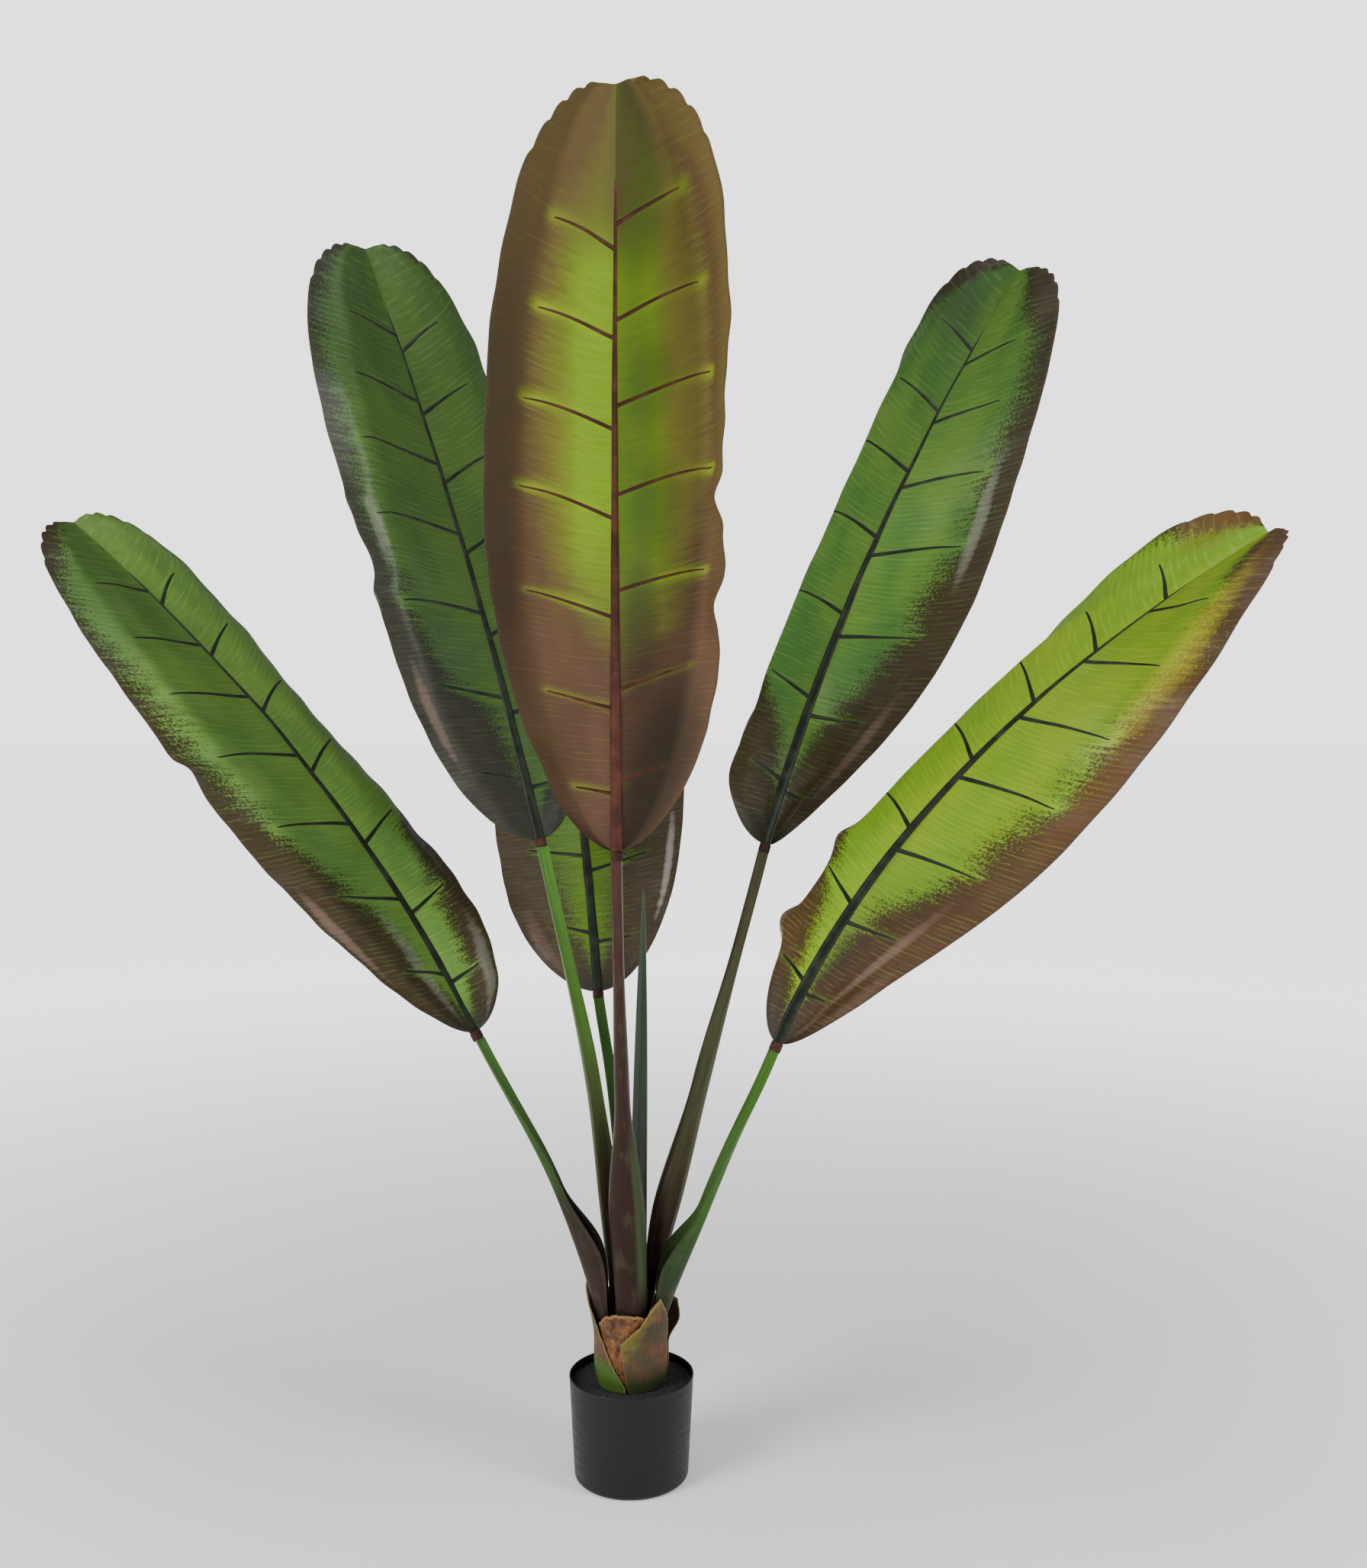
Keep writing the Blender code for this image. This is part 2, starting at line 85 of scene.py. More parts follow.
# Leaves, as the solids have them
LEAVES = {
    "far_left": dict(
        azimuth=180, base=(-0.204, -0.075, 0.62), tip=(-0.8, 0.091, 1.314), bow=(0.049, 0.019, 0.002),
        roll=(-55, -39), width=0.965, right=((-18, 21, -8), (5, 44, 20)),
        left=((-10, -5, -12), (-22, 16, -5)), flares=((-1, 0.55, 0.05, -16),),
        foot=(181, 0.0435), knee=(-0.104, -0.037, 0.4), foot_width=0.034, sheath=(0.04, 0.033),
        knee_width=0.0165, top_width=0.013,
    ),
    "upper_left": dict(
        azimuth=130, base=(-0.125, -0.005, 0.869), tip=(-0.401, 0.175, 1.731), bow=(0.019, 0.004, -0.019),
        roll=(-19, -7), width=0.974, right=((9, 18, -9), (22, 44, 20)), left=((17, -12, -15), (17, 64, -12)),
        flares=((-1, 0.48, 0.08, 14),),
        foot=(128, 0.037), knee=(-0.061, 0.02, 0.53), foot_width=0.022, sheath=(0.032, 0.016),
        knee_width=0.021, top_width=0.016,
    ),
    "front": dict(
        azimuth=-90, base=(-0.013, -0.163, 0.865), tip=(0.001, -0.512, 1.683), bow=(-0.005, 0.072, 0.008),
        roll=(8, 18), width=0.975, right=((-16, 7, 23), (42, 28, 28)), left=((-1, 16, -14), (-13, 90, 41)),
        flares=((-1, 0.53, 0.04, 10), (-1, 0.38, 0.04, 10)),
        foot=(-87, 0.0435), knee=(-0.009, -0.11, 0.537), foot_width=0.043, sheath=(0.049, 0.02),
        knee_width=0.0205, top_width=0.0145,
    ),
    "upper_right": dict(
        azimuth=45, base=(0.182, -0.03, 0.864), tip=(0.565, 0.151, 1.692), bow=(-0.034, 0.015, -0.002),
        roll=(41, 6), width=0.96, right=((82, 4, -24), (0, -1, -2)), left=((12, 28, -22), (18, 100, 4)),
        flares=((-1, 0.08, 0.08, -20),),
        foot=(50, 0.031), knee=(0.105, 0.002, 0.538), foot_width=0.018, sheath=(0.042, 0.02),
        knee_width=0.0235, top_width=0.015,
    ),
    "far_right": dict(
        azimuth=0, base=(0.189, -0.179, 0.627), tip=(0.841, -0.078, 1.278), bow=(-0.079, 0.026, 0.014),
        roll=(85, 40), width=0.965, right=((68, 20, -46), (22, 15, -4)), left=((28, 34, 2), (110, 98, -22)),
        flares=((-1, 0.19, 0.07, -50), (-1, 0.33, 0.07, -40)),
        foot=(-5, 0.0435), knee=(0.107, -0.067, 0.385), foot_width=0.034, sheath=(0.043, 0.033),
        knee_width=0.0185, top_width=0.014,
    ),
    "back": dict(
        azimuth=107, base=(-0.049, 0.054, 0.651), tip=(-0.184, 0.388, 1.519), bow=(0.012, 0.038, -0.038),
        roll=(-12, -12), width=1.037, right=((6, 6, 16), (7, 20, 25)), left=((2, 38, 14), (9, 44, 25)),
        flares=(),
        foot=(88, 0.0435), knee=(-0.032, 0.076, 0.51), foot_width=0.018, sheath=(0.02, 0.01),
        knee_width=0.0165, top_width=0.015,
    ),
}

# Paint of each leaf's upper side: its two greens, the brown margin, and where the dark airbrush starts on
# the left and the right half as (place along the leaf, share of the half's width).
# light: painted light and shade, how bright the inner and the outer part of the left half are painted, then
# of
# the right half. tip: how bright the tip is. spots: airbrushed spots of colour, of painted shade and of
# painted highlights, as (hand, place along, share out, half length, half width, strength, colour).
STOP_SCALE = 1.3
DULL = (0.026, 0.025, 0.02)
# The pale and the buff colour below are painted highlights, a pale and a pinkish sheen on the folds of the
# cloth.
PALE_SHEEN = (0.19, 0.19, 0.15)
PINK_SHEEN = (0.2, 0.13, 0.105)
PAINT = {
    "far_left": dict(
        green=(0.07, 0.156, 0.032), lime=(0.106, 0.202, 0.032), margin=(0.04, 0.02, 0.015),
        left=((0.0, 0.1), (0.1, 0.34), (0.28, 0.42), (0.42, 0.74), (0.6, 0.88), (0.88, 0.94), (1.0, 0.7)),
        right=((0.0, 0.15), (0.12, 0.42), (0.3, 0.5), (0.38, 0.62), (0.42, 1.25), (0.92, 1.2), (1.0, 1.0)),
        light=(0.7, 1.1, 1.16, 1.22), tip=0.8,
        spots=((-1, 0.13, 0.34, 0.12, 0.1, 0.45, PALE_SHEEN), (1, 0.1, 0.74, 0.09, 0.16, 0.5, PALE_SHEEN),
               (-1, 0.22, 0.9, 0.1, 0.07, 0.55, PINK_SHEEN), (1, 0.34, 0.85, 0.05, 0.3, 0.55, DULL)),
    ),
    "upper_left": dict(
        green=(0.036, 0.075, 0.02), lime=(0.052, 0.1, 0.02), margin=(0.036, 0.03, 0.027),
        left=((0.0, 0.02), (0.12, 0.1), (0.25, 0.24), (0.34, 0.58), (0.55, 0.82), (0.8, 0.9), (1.0, 0.85)),
        right=((0.0, 0.05), (0.12, 0.45), (0.3, 0.6), (0.45, 0.95), (0.6, 1.2), (0.9, 1.1), (1.0, 0.95)),
        light=(0.78, 0.9, 0.92, 0.9), tip=0.9,
        spots=((-1, 0.24, 0.8, 0.1, 0.07, 0.5, PINK_SHEEN), (-1, 0.56, 0.74, 0.07, 0.07, 0.4, PALE_SHEEN),
               (-1, 0.06, 0.3, 0.1, 0.3, 0.7, DULL)),
    ),
    "front": dict(
        green=(0.06, 0.15, 0.016), lime=(0.11, 0.205, 0.016), margin=(0.04, 0.024, 0.017),
        left=((0.0, 0.1), (0.15, 0.3), (0.3, 0.45), (0.45, 0.8), (0.65, 0.9), (0.9, 1.0), (1.0, 0.95)),
        right=((0.0, 0.1), (0.12, 0.35), (0.3, 0.5), (0.42, 0.75), (0.65, 0.88), (0.9, 0.98), (1.0, 0.95)),
        light=(1.0, 1.0, 1.0, 1.0), tip=0.75, spots=(),
    ),
    "upper_right": dict(
        green=(0.042, 0.113, 0.022), lime=(0.078, 0.157, 0.022), margin=(0.04, 0.022, 0.014),
        left=((0.0, 0.02), (0.1, 0.12), (0.2, 0.3), (0.32, 0.85), (0.42, 1.25), (0.86, 1.1), (1.0, 0.58)),
        right=((0.0, 0.02), (0.12, 0.12), (0.28, 0.36), (0.42, 0.58), (0.6, 0.76), (0.88, 0.84),
               (1.0, 0.48)),
        light=(0.85, 0.92, 1.0, 1.06), tip=0.66,
        spots=((1, 0.6, 0.8, 0.11, 0.06, 0.55, PALE_SHEEN), (-1, 0.36, 0.76, 0.07, 0.07, 0.5, PALE_SHEEN),
               (1, 0.2, 0.8, 0.1, 0.07, 0.35, PINK_SHEEN), (-1, 0.94, 0.6, 0.05, 0.5, 0.45, DULL)),
    ),
    "far_right": dict(
        green=(0.14, 0.29, 0.013), lime=(0.206, 0.325, 0.013), margin=(0.074, 0.025, 0.021),
        left=((0.0, 0.06), (0.1, 0.22), (0.24, 0.36), (0.34, 0.66), (0.42, 1.28), (0.86, 1.14), (1.0, 0.62)),
        right=((0.0, 0.06), (0.12, 0.12), (0.3, 0.3), (0.37, 0.54), (0.6, 0.74), (0.85, 0.8), (1.0, 0.52)),
        light=(0.98, 1.0, 0.72, 0.94), tip=0.92,
        spots=((1, 0.22, 0.7, 0.13, 0.06, 0.6, PINK_SHEEN), (1, 0.12, 0.9, 0.08, 0.08, 0.35, PINK_SHEEN),
               (-1, 0.2, 0.9, 0.14, 0.12, 0.45, PINK_SHEEN), (-1, 0.97, 0.8, 0.04, 0.5, 0.5, (0.16, 0.09, 0.02)),
               (1, 0.66, 0.88, 0.22, 0.14, 0.5, (0.125, 0.052, 0.014)),
               (-1, 0.06, 0.62, 0.08, 0.5, 0.6, DULL), (1, 0.19, 0.22, 0.08, 0.26, 0.4, DULL),
               (1, 0.34, 0.72, 0.09, 0.12, 0.4, (0.04, 0.016, 0.009)),
               (1, 0.82, 0.74, 0.15, 0.15, 0.5, (0.34, 0.27, 0.018))),
    ),
    "back": dict(
        green=(0.06, 0.13, 0.015), lime=(0.095, 0.17, 0.015), margin=(0.07, 0.044, 0.034),
        left=((0.0, 0.08), (0.12, 0.28), (0.3, 0.42), (0.45, 0.8), (0.65, 0.9), (0.9, 1.0), (1.0, 0.92)),
        right=((0.0, 0.08), (0.12, 0.26), (0.3, 0.4), (0.45, 0.78), (0.65, 0.88), (0.9, 0.98), (1.0, 0.92)),
        light=(0.9, 0.9, 0.9, 0.9), tip=0.75,
        # Both spots here are painted highlights, the second a whitish band of sheen down the right half.
        spots=((-1, 0.1, 0.8, 0.08, 0.12, 0.4, PINK_SHEEN), (1, 0.22, 0.88, 0.1, 0.05, 0.7, (0.4, 0.38, 0.34))),
    ),
}
# The undersides share one paint, laid out in the same way
UNDER_LEFT = ((0.0, 0.0), (0.28, 0.06), (0.36, 0.48), (0.6, 0.66), (0.8, 0.72), (0.93, 0.62), (1.0, 0.2))
UNDER_RIGHT = ((0.0, 0.0), (0.3, 0.04), (0.38, 0.24), (0.48, 0.54), (0.75, 0.68), (0.93, 0.6), (1.0, 0.15))
# How bright the undersides are painted, as painted light and shade: the inner and the outer part of the left
# half, then of the right half.
UNDER_PAINTED_LIGHT = (0.58, 1.0, 0.94, 0.66)
RUST = (0.094, 0.048, 0.03)
SHADE = (0.026, 0.019, 0.012)
OLIVE = (0.12, 0.095, 0.02)
SHADE_GREEN = (0.04, 0.08, 0.012)
# Spots on the undersides: the shade spots, the deep green spots and the dark green strip beside the midrib
# are painted shade; the others are spots of colour.
UNDER_SPOTS = (
    (-1, 0.1, 0.55, 0.22, 0.5, 0.85, SHADE), (-1, 0.36, 0.2, 0.14, 0.16, 0.45, SHADE),
    (1, 0.56, 0.92, 0.38, 0.24, 0.62, SHADE), (1, 0.58, 0.42, 0.26, 0.14, 0.35, OLIVE),
    (-1, 0.76, 0.5, 0.3, 0.2, 0.6, (0.2, 0.16, 0.034)),
    (-1, 0.56, 0.3, 0.08, 0.22, 0.4, SHADE_GREEN), (-1, 0.73, 0.26, 0.06, 0.2, 0.35, SHADE_GREEN),
    (-1, 0.95, 0.2, 0.1, 0.34, 0.75, (0.052, 0.058, 0.014)),
    (1, 0.96, 0.3, 0.09, 0.6, 0.8, (0.1, 0.066, 0.026)),
    (-1, 0.62, 0.15, 0.28, 0.17, 0.36, (0.04, 0.08, 0.034)),
)

# Pinches and kinks that packing has left: hand, place along, share out, half length, half width, depth
PINCHES = {
    "far_left": ((-1, 0.655, 0.78, 0.022, 0.16, 0.011), (-1, 0.36, 0.74, 0.1, 0.06, 0.004),
                 (-1, 0.6, 0.95, 0.03, 0.16, -0.008),
                 (-1, 0.48, 0.9, 0.05, 0.12, 0.004), (1, 0.07, 0.72, 0.03, 0.2, 0.006)),
    "upper_left": ((-1, 0.455, 0.92, 0.022, 0.17, 0.01), (-1, 0.52, 0.92, 0.03, 0.15, -0.006),
                   (-1, 0.6, 0.88, 0.018, 0.16, 0.009)),
    "front": ((-1, 0.43, 0.97, 0.03, 0.1, 0.0015), (1, 0.05, 0.9, 0.03, 0.2, 0.003)),
    "upper_right": ((1, 0.14, 0.95, 0.04, 0.14, 0.005), (-1, 0.16, 0.9, 0.03, 0.15, 0.005),
                    (1, 0.3, 0.8, 0.09, 0.06, 0.003)),
    "far_right": ((1, 0.12, 0.95, 0.04, 0.16, 0.006), (-1, 0.17, 0.92, 0.035, 0.2, 0.014),
                  (-1, 0.34, 0.88, 0.04, 0.18, 0.013)),
    "back": ((-1, 0.13, 0.85, 0.03, 0.18, 0.006), (1, 0.17, 0.9, 0.03, 0.16, 0.006)),
}


# Small sums on arrays and colours
def smooth(x):
    x = np.clip(x, 0.0, 1.0)
    return x * x * (3 - 2 * x)


def unit(vectors):
    return vectors / np.linalg.norm(vectors, axis=-1, keepdims=True)


def dot(a, b):
    return (a * b).sum(-1, keepdims=True)


def square_to(vectors, axis):
    return unit(vectors - dot(vectors, axis) * axis)


def compass(degrees):
    angle = np.radians(degrees)
    return np.stack((np.cos(angle), np.sin(angle), 0 * angle), -1)


def three_point(values, s):
    first, middle, last = values
    s = np.clip(s, 0.0, 1.0)
    return first * (1 - s) * (1 - 2 * s) + 4 * middle * s * (1 - s) + last * s * (2 * s - 1)


def ripple(x, y, seed):
    """Gentle unevenness between about -1 and 1, the same on every run."""
    total = 0.0
    for k in range(5):
        turn = 2.4 * k + 1.7 * seed
        ahead = x * math.cos(turn) + y * math.sin(turn)
        total = total + np.sin(ahead * (1 + 0.37 * k) * TURN + 2.1 * k * seed + seed) / 5
    return total * 1.6


def circle(count):
    """Angles evenly round a circle."""
    return np.linspace(0, 2 * math.pi, count + 1)[:-1]


def scaled(colour, share):
    return tuple(c * share for c in colour)


# The shape of a leaf
def half_width(t):
    below = np.clip((WIDEST - t) / WIDEST, 0, 1)
    above = np.clip((t - WIDEST) / (1 - WIDEST), 0, 1)
    base = (1 - below**BASE_POWER) ** (1 / BASE_POWER)
    tip = (1 - above**TIP_POWER) ** (1 / TIP_POWER)
    return np.where(t < WIDEST, base, tip)


def along_midrib(t, v):
    share = half_width(t)
    sweep = VEIN_SWEEP * t**1.5 * np.sqrt(1 - t)
    outer = t > WIDEST
    notch = np.where(outer, NOTCH_DEPTH * np.clip(1 - share / NOTCH_WIDTH, 0, 1) ** 2, 0)
    waves = SCALLOP_DEPTH * (np.abs(np.sin(math.pi * share / SCALLOP_WIDTH)) ** 0.7 - 1)
    waves = np.where(outer & (share < SCALLOP_END), waves, 0)
    return t - sweep + sweep * v**VEIN_CURVE - notch + waves * v**8


def midrib_frame(leaf, s):
    base, tip, bow = (np.array(leaf[key]) for key in ("base", "tip", "bow"))
    k = (s / (1 - NOTCH_DEPTH))[..., None]
    point = base * (1 - k) + tip * k + 4 * k * (1 - k) * bow
    forward = unit(tip - base + (4 - 8 * k) * bow)
    flat = square_to(-compass(leaf["azimuth"]) + 0 * forward, forward)
    roll = np.radians(leaf["roll"][0] * (1 - s) + leaf["roll"][1] * s)[..., None]
    upper = flat * np.cos(roll) + np.cross(forward, flat) * np.sin(roll)
    return point, forward, np.cross(forward, upper), upper


def fold_angle(leaf, hand, s, v):
    inner, outer = leaf["right"] if hand > 0 else leaf["left"]
    beyond = three_point(outer, s)
    for flare_hand, place, half_length, degrees in leaf["flares"]:
        if flare_hand == hand:
            beyond = beyond + degrees * smooth(1 - np.abs(s - place) / half_length)
    turned = smooth((v - CREASE + CREASE_SPREAD) / (2 * CREASE_SPREAD))
    return np.radians(three_point(inner, s) * (1 - turned) + beyond * turned)


def rib_path(rib, v):
    """Where along the leaf a side rib has come at share v of the half's width."""
    return three_point(rib, v / CREASE)


def between_ribs(hand, t):
    """0 on a rib and 1 half way to the next."""
    marks = [0.0] + [rib[1] for rib in (RIBS_RIGHT if hand > 0 else RIBS_LEFT)] + [1.0]
    phase = np.interp(t, marks, range(len(marks)))
    return np.sin(math.pi * (phase - np.floor(phase)))


def leaf_relief(name, hand, t, v):
    """How far the moulded sheet stands above its plain bent form."""
    seed = 1 + list(LEAVES).index(name)
    quilt = 0.0016 * between_ribs(hand, t) * np.sin(math.pi * np.clip(v / 0.72, 0, 1)) ** 0.8
    rim = smooth((v - 0.6) / 0.4)
    waves = 0.0022 * rim * ripple(7 * t, 0.3 * v, seed + hand) + 0.0012 * ripple(3 * t, 1.1 * v, seed + 3)
    ends = smooth(t / 0.06) * smooth((1 - t) / 0.03)
    dents = 0.0
    for side, place, out, long, wide, depth in PINCHES[name]:
        if side == hand:
            dents = dents + depth * np.exp(-(((t - place) / long) ** 2) - ((v - out) / wide) ** 2)
    return (quilt + waves + dents) * ends


def leaf_skin(name, hand, t, v):
    """A point of the moulded sheet and the way its upper side faces."""
    leaf = LEAVES[name]
    t, v = np.broadcast_arrays(np.asarray(t, float), np.asarray(v, float))
    s = along_midrib(t, v)
    point, _, side, upper = midrib_frame(leaf, s)
    reach = HALF_WIDTH * leaf["width"] * half_width(t) * v
    across = back = 0.0
    for step in range(BEND_STEPS):
        angle = fold_angle(leaf, hand, s, v * (step + 0.5) / BEND_STEPS)
        across = across + np.cos(angle) * reach / BEND_STEPS
        back = back + np.sin(angle) * reach / BEND_STEPS
    angle = fold_angle(leaf, hand, s, v)[..., None]
    facing = upper * np.cos(angle) + hand * side * np.sin(angle)
    point = point + hand * side * across[..., None] - upper * back[..., None]
    return point + facing * leaf_relief(name, hand, t, v)[..., None], facing


# Meshes
def add_object(name, data):
    made = bpy.data.objects.new(name, data)
    bpy.context.scene.collection.objects.link(made)
    return made


def new_piece(name, points, faces, finishes, slots=None, place=None, glow=None):
    """A smooth piece. place: each point's two coordinates for its finish. glow: one number a point."""
    mesh = bpy.data.meshes.new(name)
    mesh.from_pydata(np.asarray(points).tolist(), [], faces)
    for finish in finishes:
        mesh.materials.append(finish)
    if slots is not None:
        mesh.polygons.foreach_set("material_index", slots)
    if place is not None:
        layer = mesh.uv_layers.new(name="place")
        corners = np.zeros(len(mesh.loops), np.int32)
        mesh.loops.foreach_get("vertex_index", corners)
        layer.uv.foreach_set("vector", np.asarray(place, np.float32)[corners].ravel())
    if glow is not None:
        layer = mesh.attributes.new("beside_rib", "FLOAT", "POINT")
        layer.data.foreach_set("value", np.asarray(glow, np.float32))
    mesh.shade_smooth()
    mesh.set_sharp_from_angle(angle=math.radians(50))
    mesh.update()
    piece = add_object(name, mesh)
    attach(piece, "root")
    return piece


def grid_faces(rows, columns, first=0, closed=False, flip=False):
    """Faces over a grid of points that is numbered row by row."""
    faces = []
    for i in range(rows - 1):
        for j in range(columns if closed else columns - 1):
            k = (j + 1) % columns
            a, b = first + i * columns + j, first + i * columns + k
            face = (a, b, b + columns, a + columns)
            faces.append(face[::-1] if flip else face)
    return faces


def end_faces(rows, columns):
    """The two flat ends of a closed tube of points."""
    last = (rows - 1) * columns
    return [tuple(range(columns))[::-1], tuple(range(last, last + columns))]


def sheet_faces(rows, columns):
    """Faces of a thin closed sheet: its front grid, its back grid and the strip round the edge."""
    count = rows * columns
    front = grid_faces(rows, columns)
    back = grid_faces(rows, columns, count, flip=True)
    rim = list(range(columns))
    rim += [i * columns + columns - 1 for i in range(1, rows)]
    rim += [(rows - 1) * columns + j for j in range(columns - 2, -1, -1)]
    rim += [i * columns for i in range(rows - 2, 0, -1)]
    edge = []
    for a, b in zip(rim, rim[1:] + rim[:1]):
        edge.append((b, a, a + count, b + count))
    return front, back, edge


def new_shell(name, rows, columns, outer, inner, finish, place):
    """A thin closed shell from the points of its outer and its inner side."""
    front, back, edge = sheet_faces(rows, columns)
    faces = [face[::-1] for face in front + back + edge]
    return new_piece(name, outer + inner, faces, [finish], None, place + place)


def ridge(centres, faces_up, widths, heights, sink):
    """Points and faces of a half round ridge along a line on a sheet."""
    ahead = unit(np.gradient(centres, axis=0))
    across = unit(np.cross(ahead, faces_up))
    turns = np.linspace(0, math.pi, 7)
    rows = []
    for turn in turns:
        out = across * (widths * math.cos(turn) / 2)[:, None]
        rows.append(centres + out + faces_up * (heights * math.sin(turn) - sink)[:, None])
    points = np.stack(rows, 1).reshape(-1, 3)
    return points, grid_faces(len(centres), len(turns), closed=True)


# Finishes
class Value:
    """A number that changes over a surface, for plain arithmetic."""

    def __init__(self, finish, socket):
        self.finish = finish
        self.socket = socket

    def sum(self, operation, first, second=0.0):
        return self.finish.node("ShaderNodeMath", {"operation": operation}, {0: first, 1: second})

    def __add__(self, other):
        return self.sum("ADD", self, other)

    def __sub__(self, other):
        return self.sum("SUBTRACT", self, other)

    def __rsub__(self, other):
        return self.sum("SUBTRACT", other, self)

    def __mul__(self, other):
        return self.sum("MULTIPLY", self, other)

    def __rmul__(self, other):
        return self.sum("MULTIPLY", other, self)

    def __truediv__(self, other):
        return self.sum("DIVIDE", self, other)

    def __pow__(self, other):
        return self.sum("POWER", self, other)


class Finish:
    """One material that is painted with nodes."""

    def __init__(self, name, **plain):
        self.material = bpy.data.materials.new(name)
        self.material.use_nodes = True
        self.tree = self.material.node_tree
        self.shader = self.tree.nodes["Principled BSDF"]
        self.colour = None
        for socket, value in plain.items():
            self.shader.inputs[socket.replace("_", " ")].default_value = value

    def node(self, kind, settings=None, values=None, output=0):
        made = self.tree.nodes.new(kind)
        for key, value in (settings or {}).items():
            if key == "stops":
                ramp = made.color_ramp
                while len(ramp.elements) < len(value):
                    ramp.elements.new(0.5)
                for element, (place, colour) in zip(ramp.elements, value):
                    element.position = place
                    element.color = (*colour, 1.0)
            else:
                setattr(made, key, value)
        for key, value in (values or {}).items():
            self.set(made.inputs[key], value)
        return Value(self, made.outputs[output])

    def set(self, socket, value):
        if isinstance(value, Value):
            self.tree.links.new(value.socket, socket)
        elif isinstance(value, tuple) and len(value) == 3 and socket.type == "RGBA":
            socket.default_value = (*value, 1.0)
        else:
            socket.default_value = value

    def place(self):
        """The two coordinates that the piece was given."""
        uv = self.node("ShaderNodeUVMap", {"uv_map": "place"})
        split = self.node("ShaderNodeSeparateXYZ", None, {0: uv})
        return split, Value(self, split.socket.node.outputs[1])

    def spot(self, x, y, z):
        return self.node("ShaderNodeCombineXYZ", None, {0: x, 1: y, 2: z})

    def where(self):
        """The point of the object, in metres."""
        return self.node("ShaderNodeTexCoord", None, None, "Object")

    def noise(self, where, scale=1.0, detail=2.0, roughness=0.5):
        return self.node("ShaderNodeTexNoise", None,
                         {"Vector": where, "Scale": scale, "Detail": detail, "Roughness": roughness})

    def grain(self, x, y, z, detail, roughness=0.5):
        """Noise over the coordinates that the piece was given."""
        return self.noise(self.spot(x, y, z), 1.0, detail, roughness)

    def size(self, value):
        return self.node("ShaderNodeMath", {"operation": "ABSOLUTE"}, {0: value})

    def grey(self, value):
        """A grey colour as bright as the value."""
        return self.spot(value, value, value)

    def rise(self, value, low, high, first=0.0, last=1.0):
        """Turns smoothly from first to last as the value goes from low to high."""
        return self.node("ShaderNodeMapRange", {"interpolation_type": "SMOOTHSTEP"},
                         {0: value, 1: low, 2: high, 3: first, 4: last})

    def curve(self, value, stops, scale):
        """A number read off straight lines between stops. Stops hold numbers up to scale."""
        return self.colours(value, [(a, (b / scale,) * 3) for a, b in stops]) * scale

    def colours(self, value, stops):
        return self.node("ShaderNodeValToRGB", {"stops": stops}, {0: value})

    def mix(self, share, first, second, blend="MIX"):
        made = self.node("ShaderNodeMix", {"data_type": "RGBA", "blend_type": blend})
        node = made.socket.node
        for index, value in ((0, share), (6, first), (7, second)):
            self.set(node.inputs[index], value)
        return Value(self, node.outputs[2])

    def cover(self, share, tint):
        """Lay a tint over the colour so far."""
        self.colour = self.mix(share, self.colour, tint)

    def shaded(self, bright):
        """The colour so far, times a brightness."""
        return self.mix(1.0, self.colour, self.grey(bright), "MULTIPLY")

    def bump(self, height, depth, strength):
        values = {"Height": height, "Distance": depth, "Strength": strength}
        normal = self.node("ShaderNodeBump", None, values)
        self.tree.links.new(normal.socket, self.shader.inputs["Normal"])

    def paint(self, colour, roughness=None):
        self.set(self.shader.inputs["Base Color"], colour)
        if roughness is not None:
            self.set(self.shader.inputs["Roughness"], roughness)
        return self.material


def leaf_lines(finish, t, out, right):
    """Fine lines that run out from the midrib along the veins, uneven in place and strength."""
    wander = finish.grain(t * 26.0, out * 1.5, right * 3.0, 1.0)
    phase = t * VEIN_LINES + wander * 1.6
    fraction = finish.node("ShaderNodeMath", {"operation": "FRACT"}, {0: phase})
    near = finish.rise(finish.size(fraction - 0.5), 0.03, 0.17, 1.0, 0.0)
    strength = finish.grain(t * 90.0, out * 4.0, right * 5.0 + 9.0, 2.0)
    return near * finish.rise(strength, 0.36, 0.66)


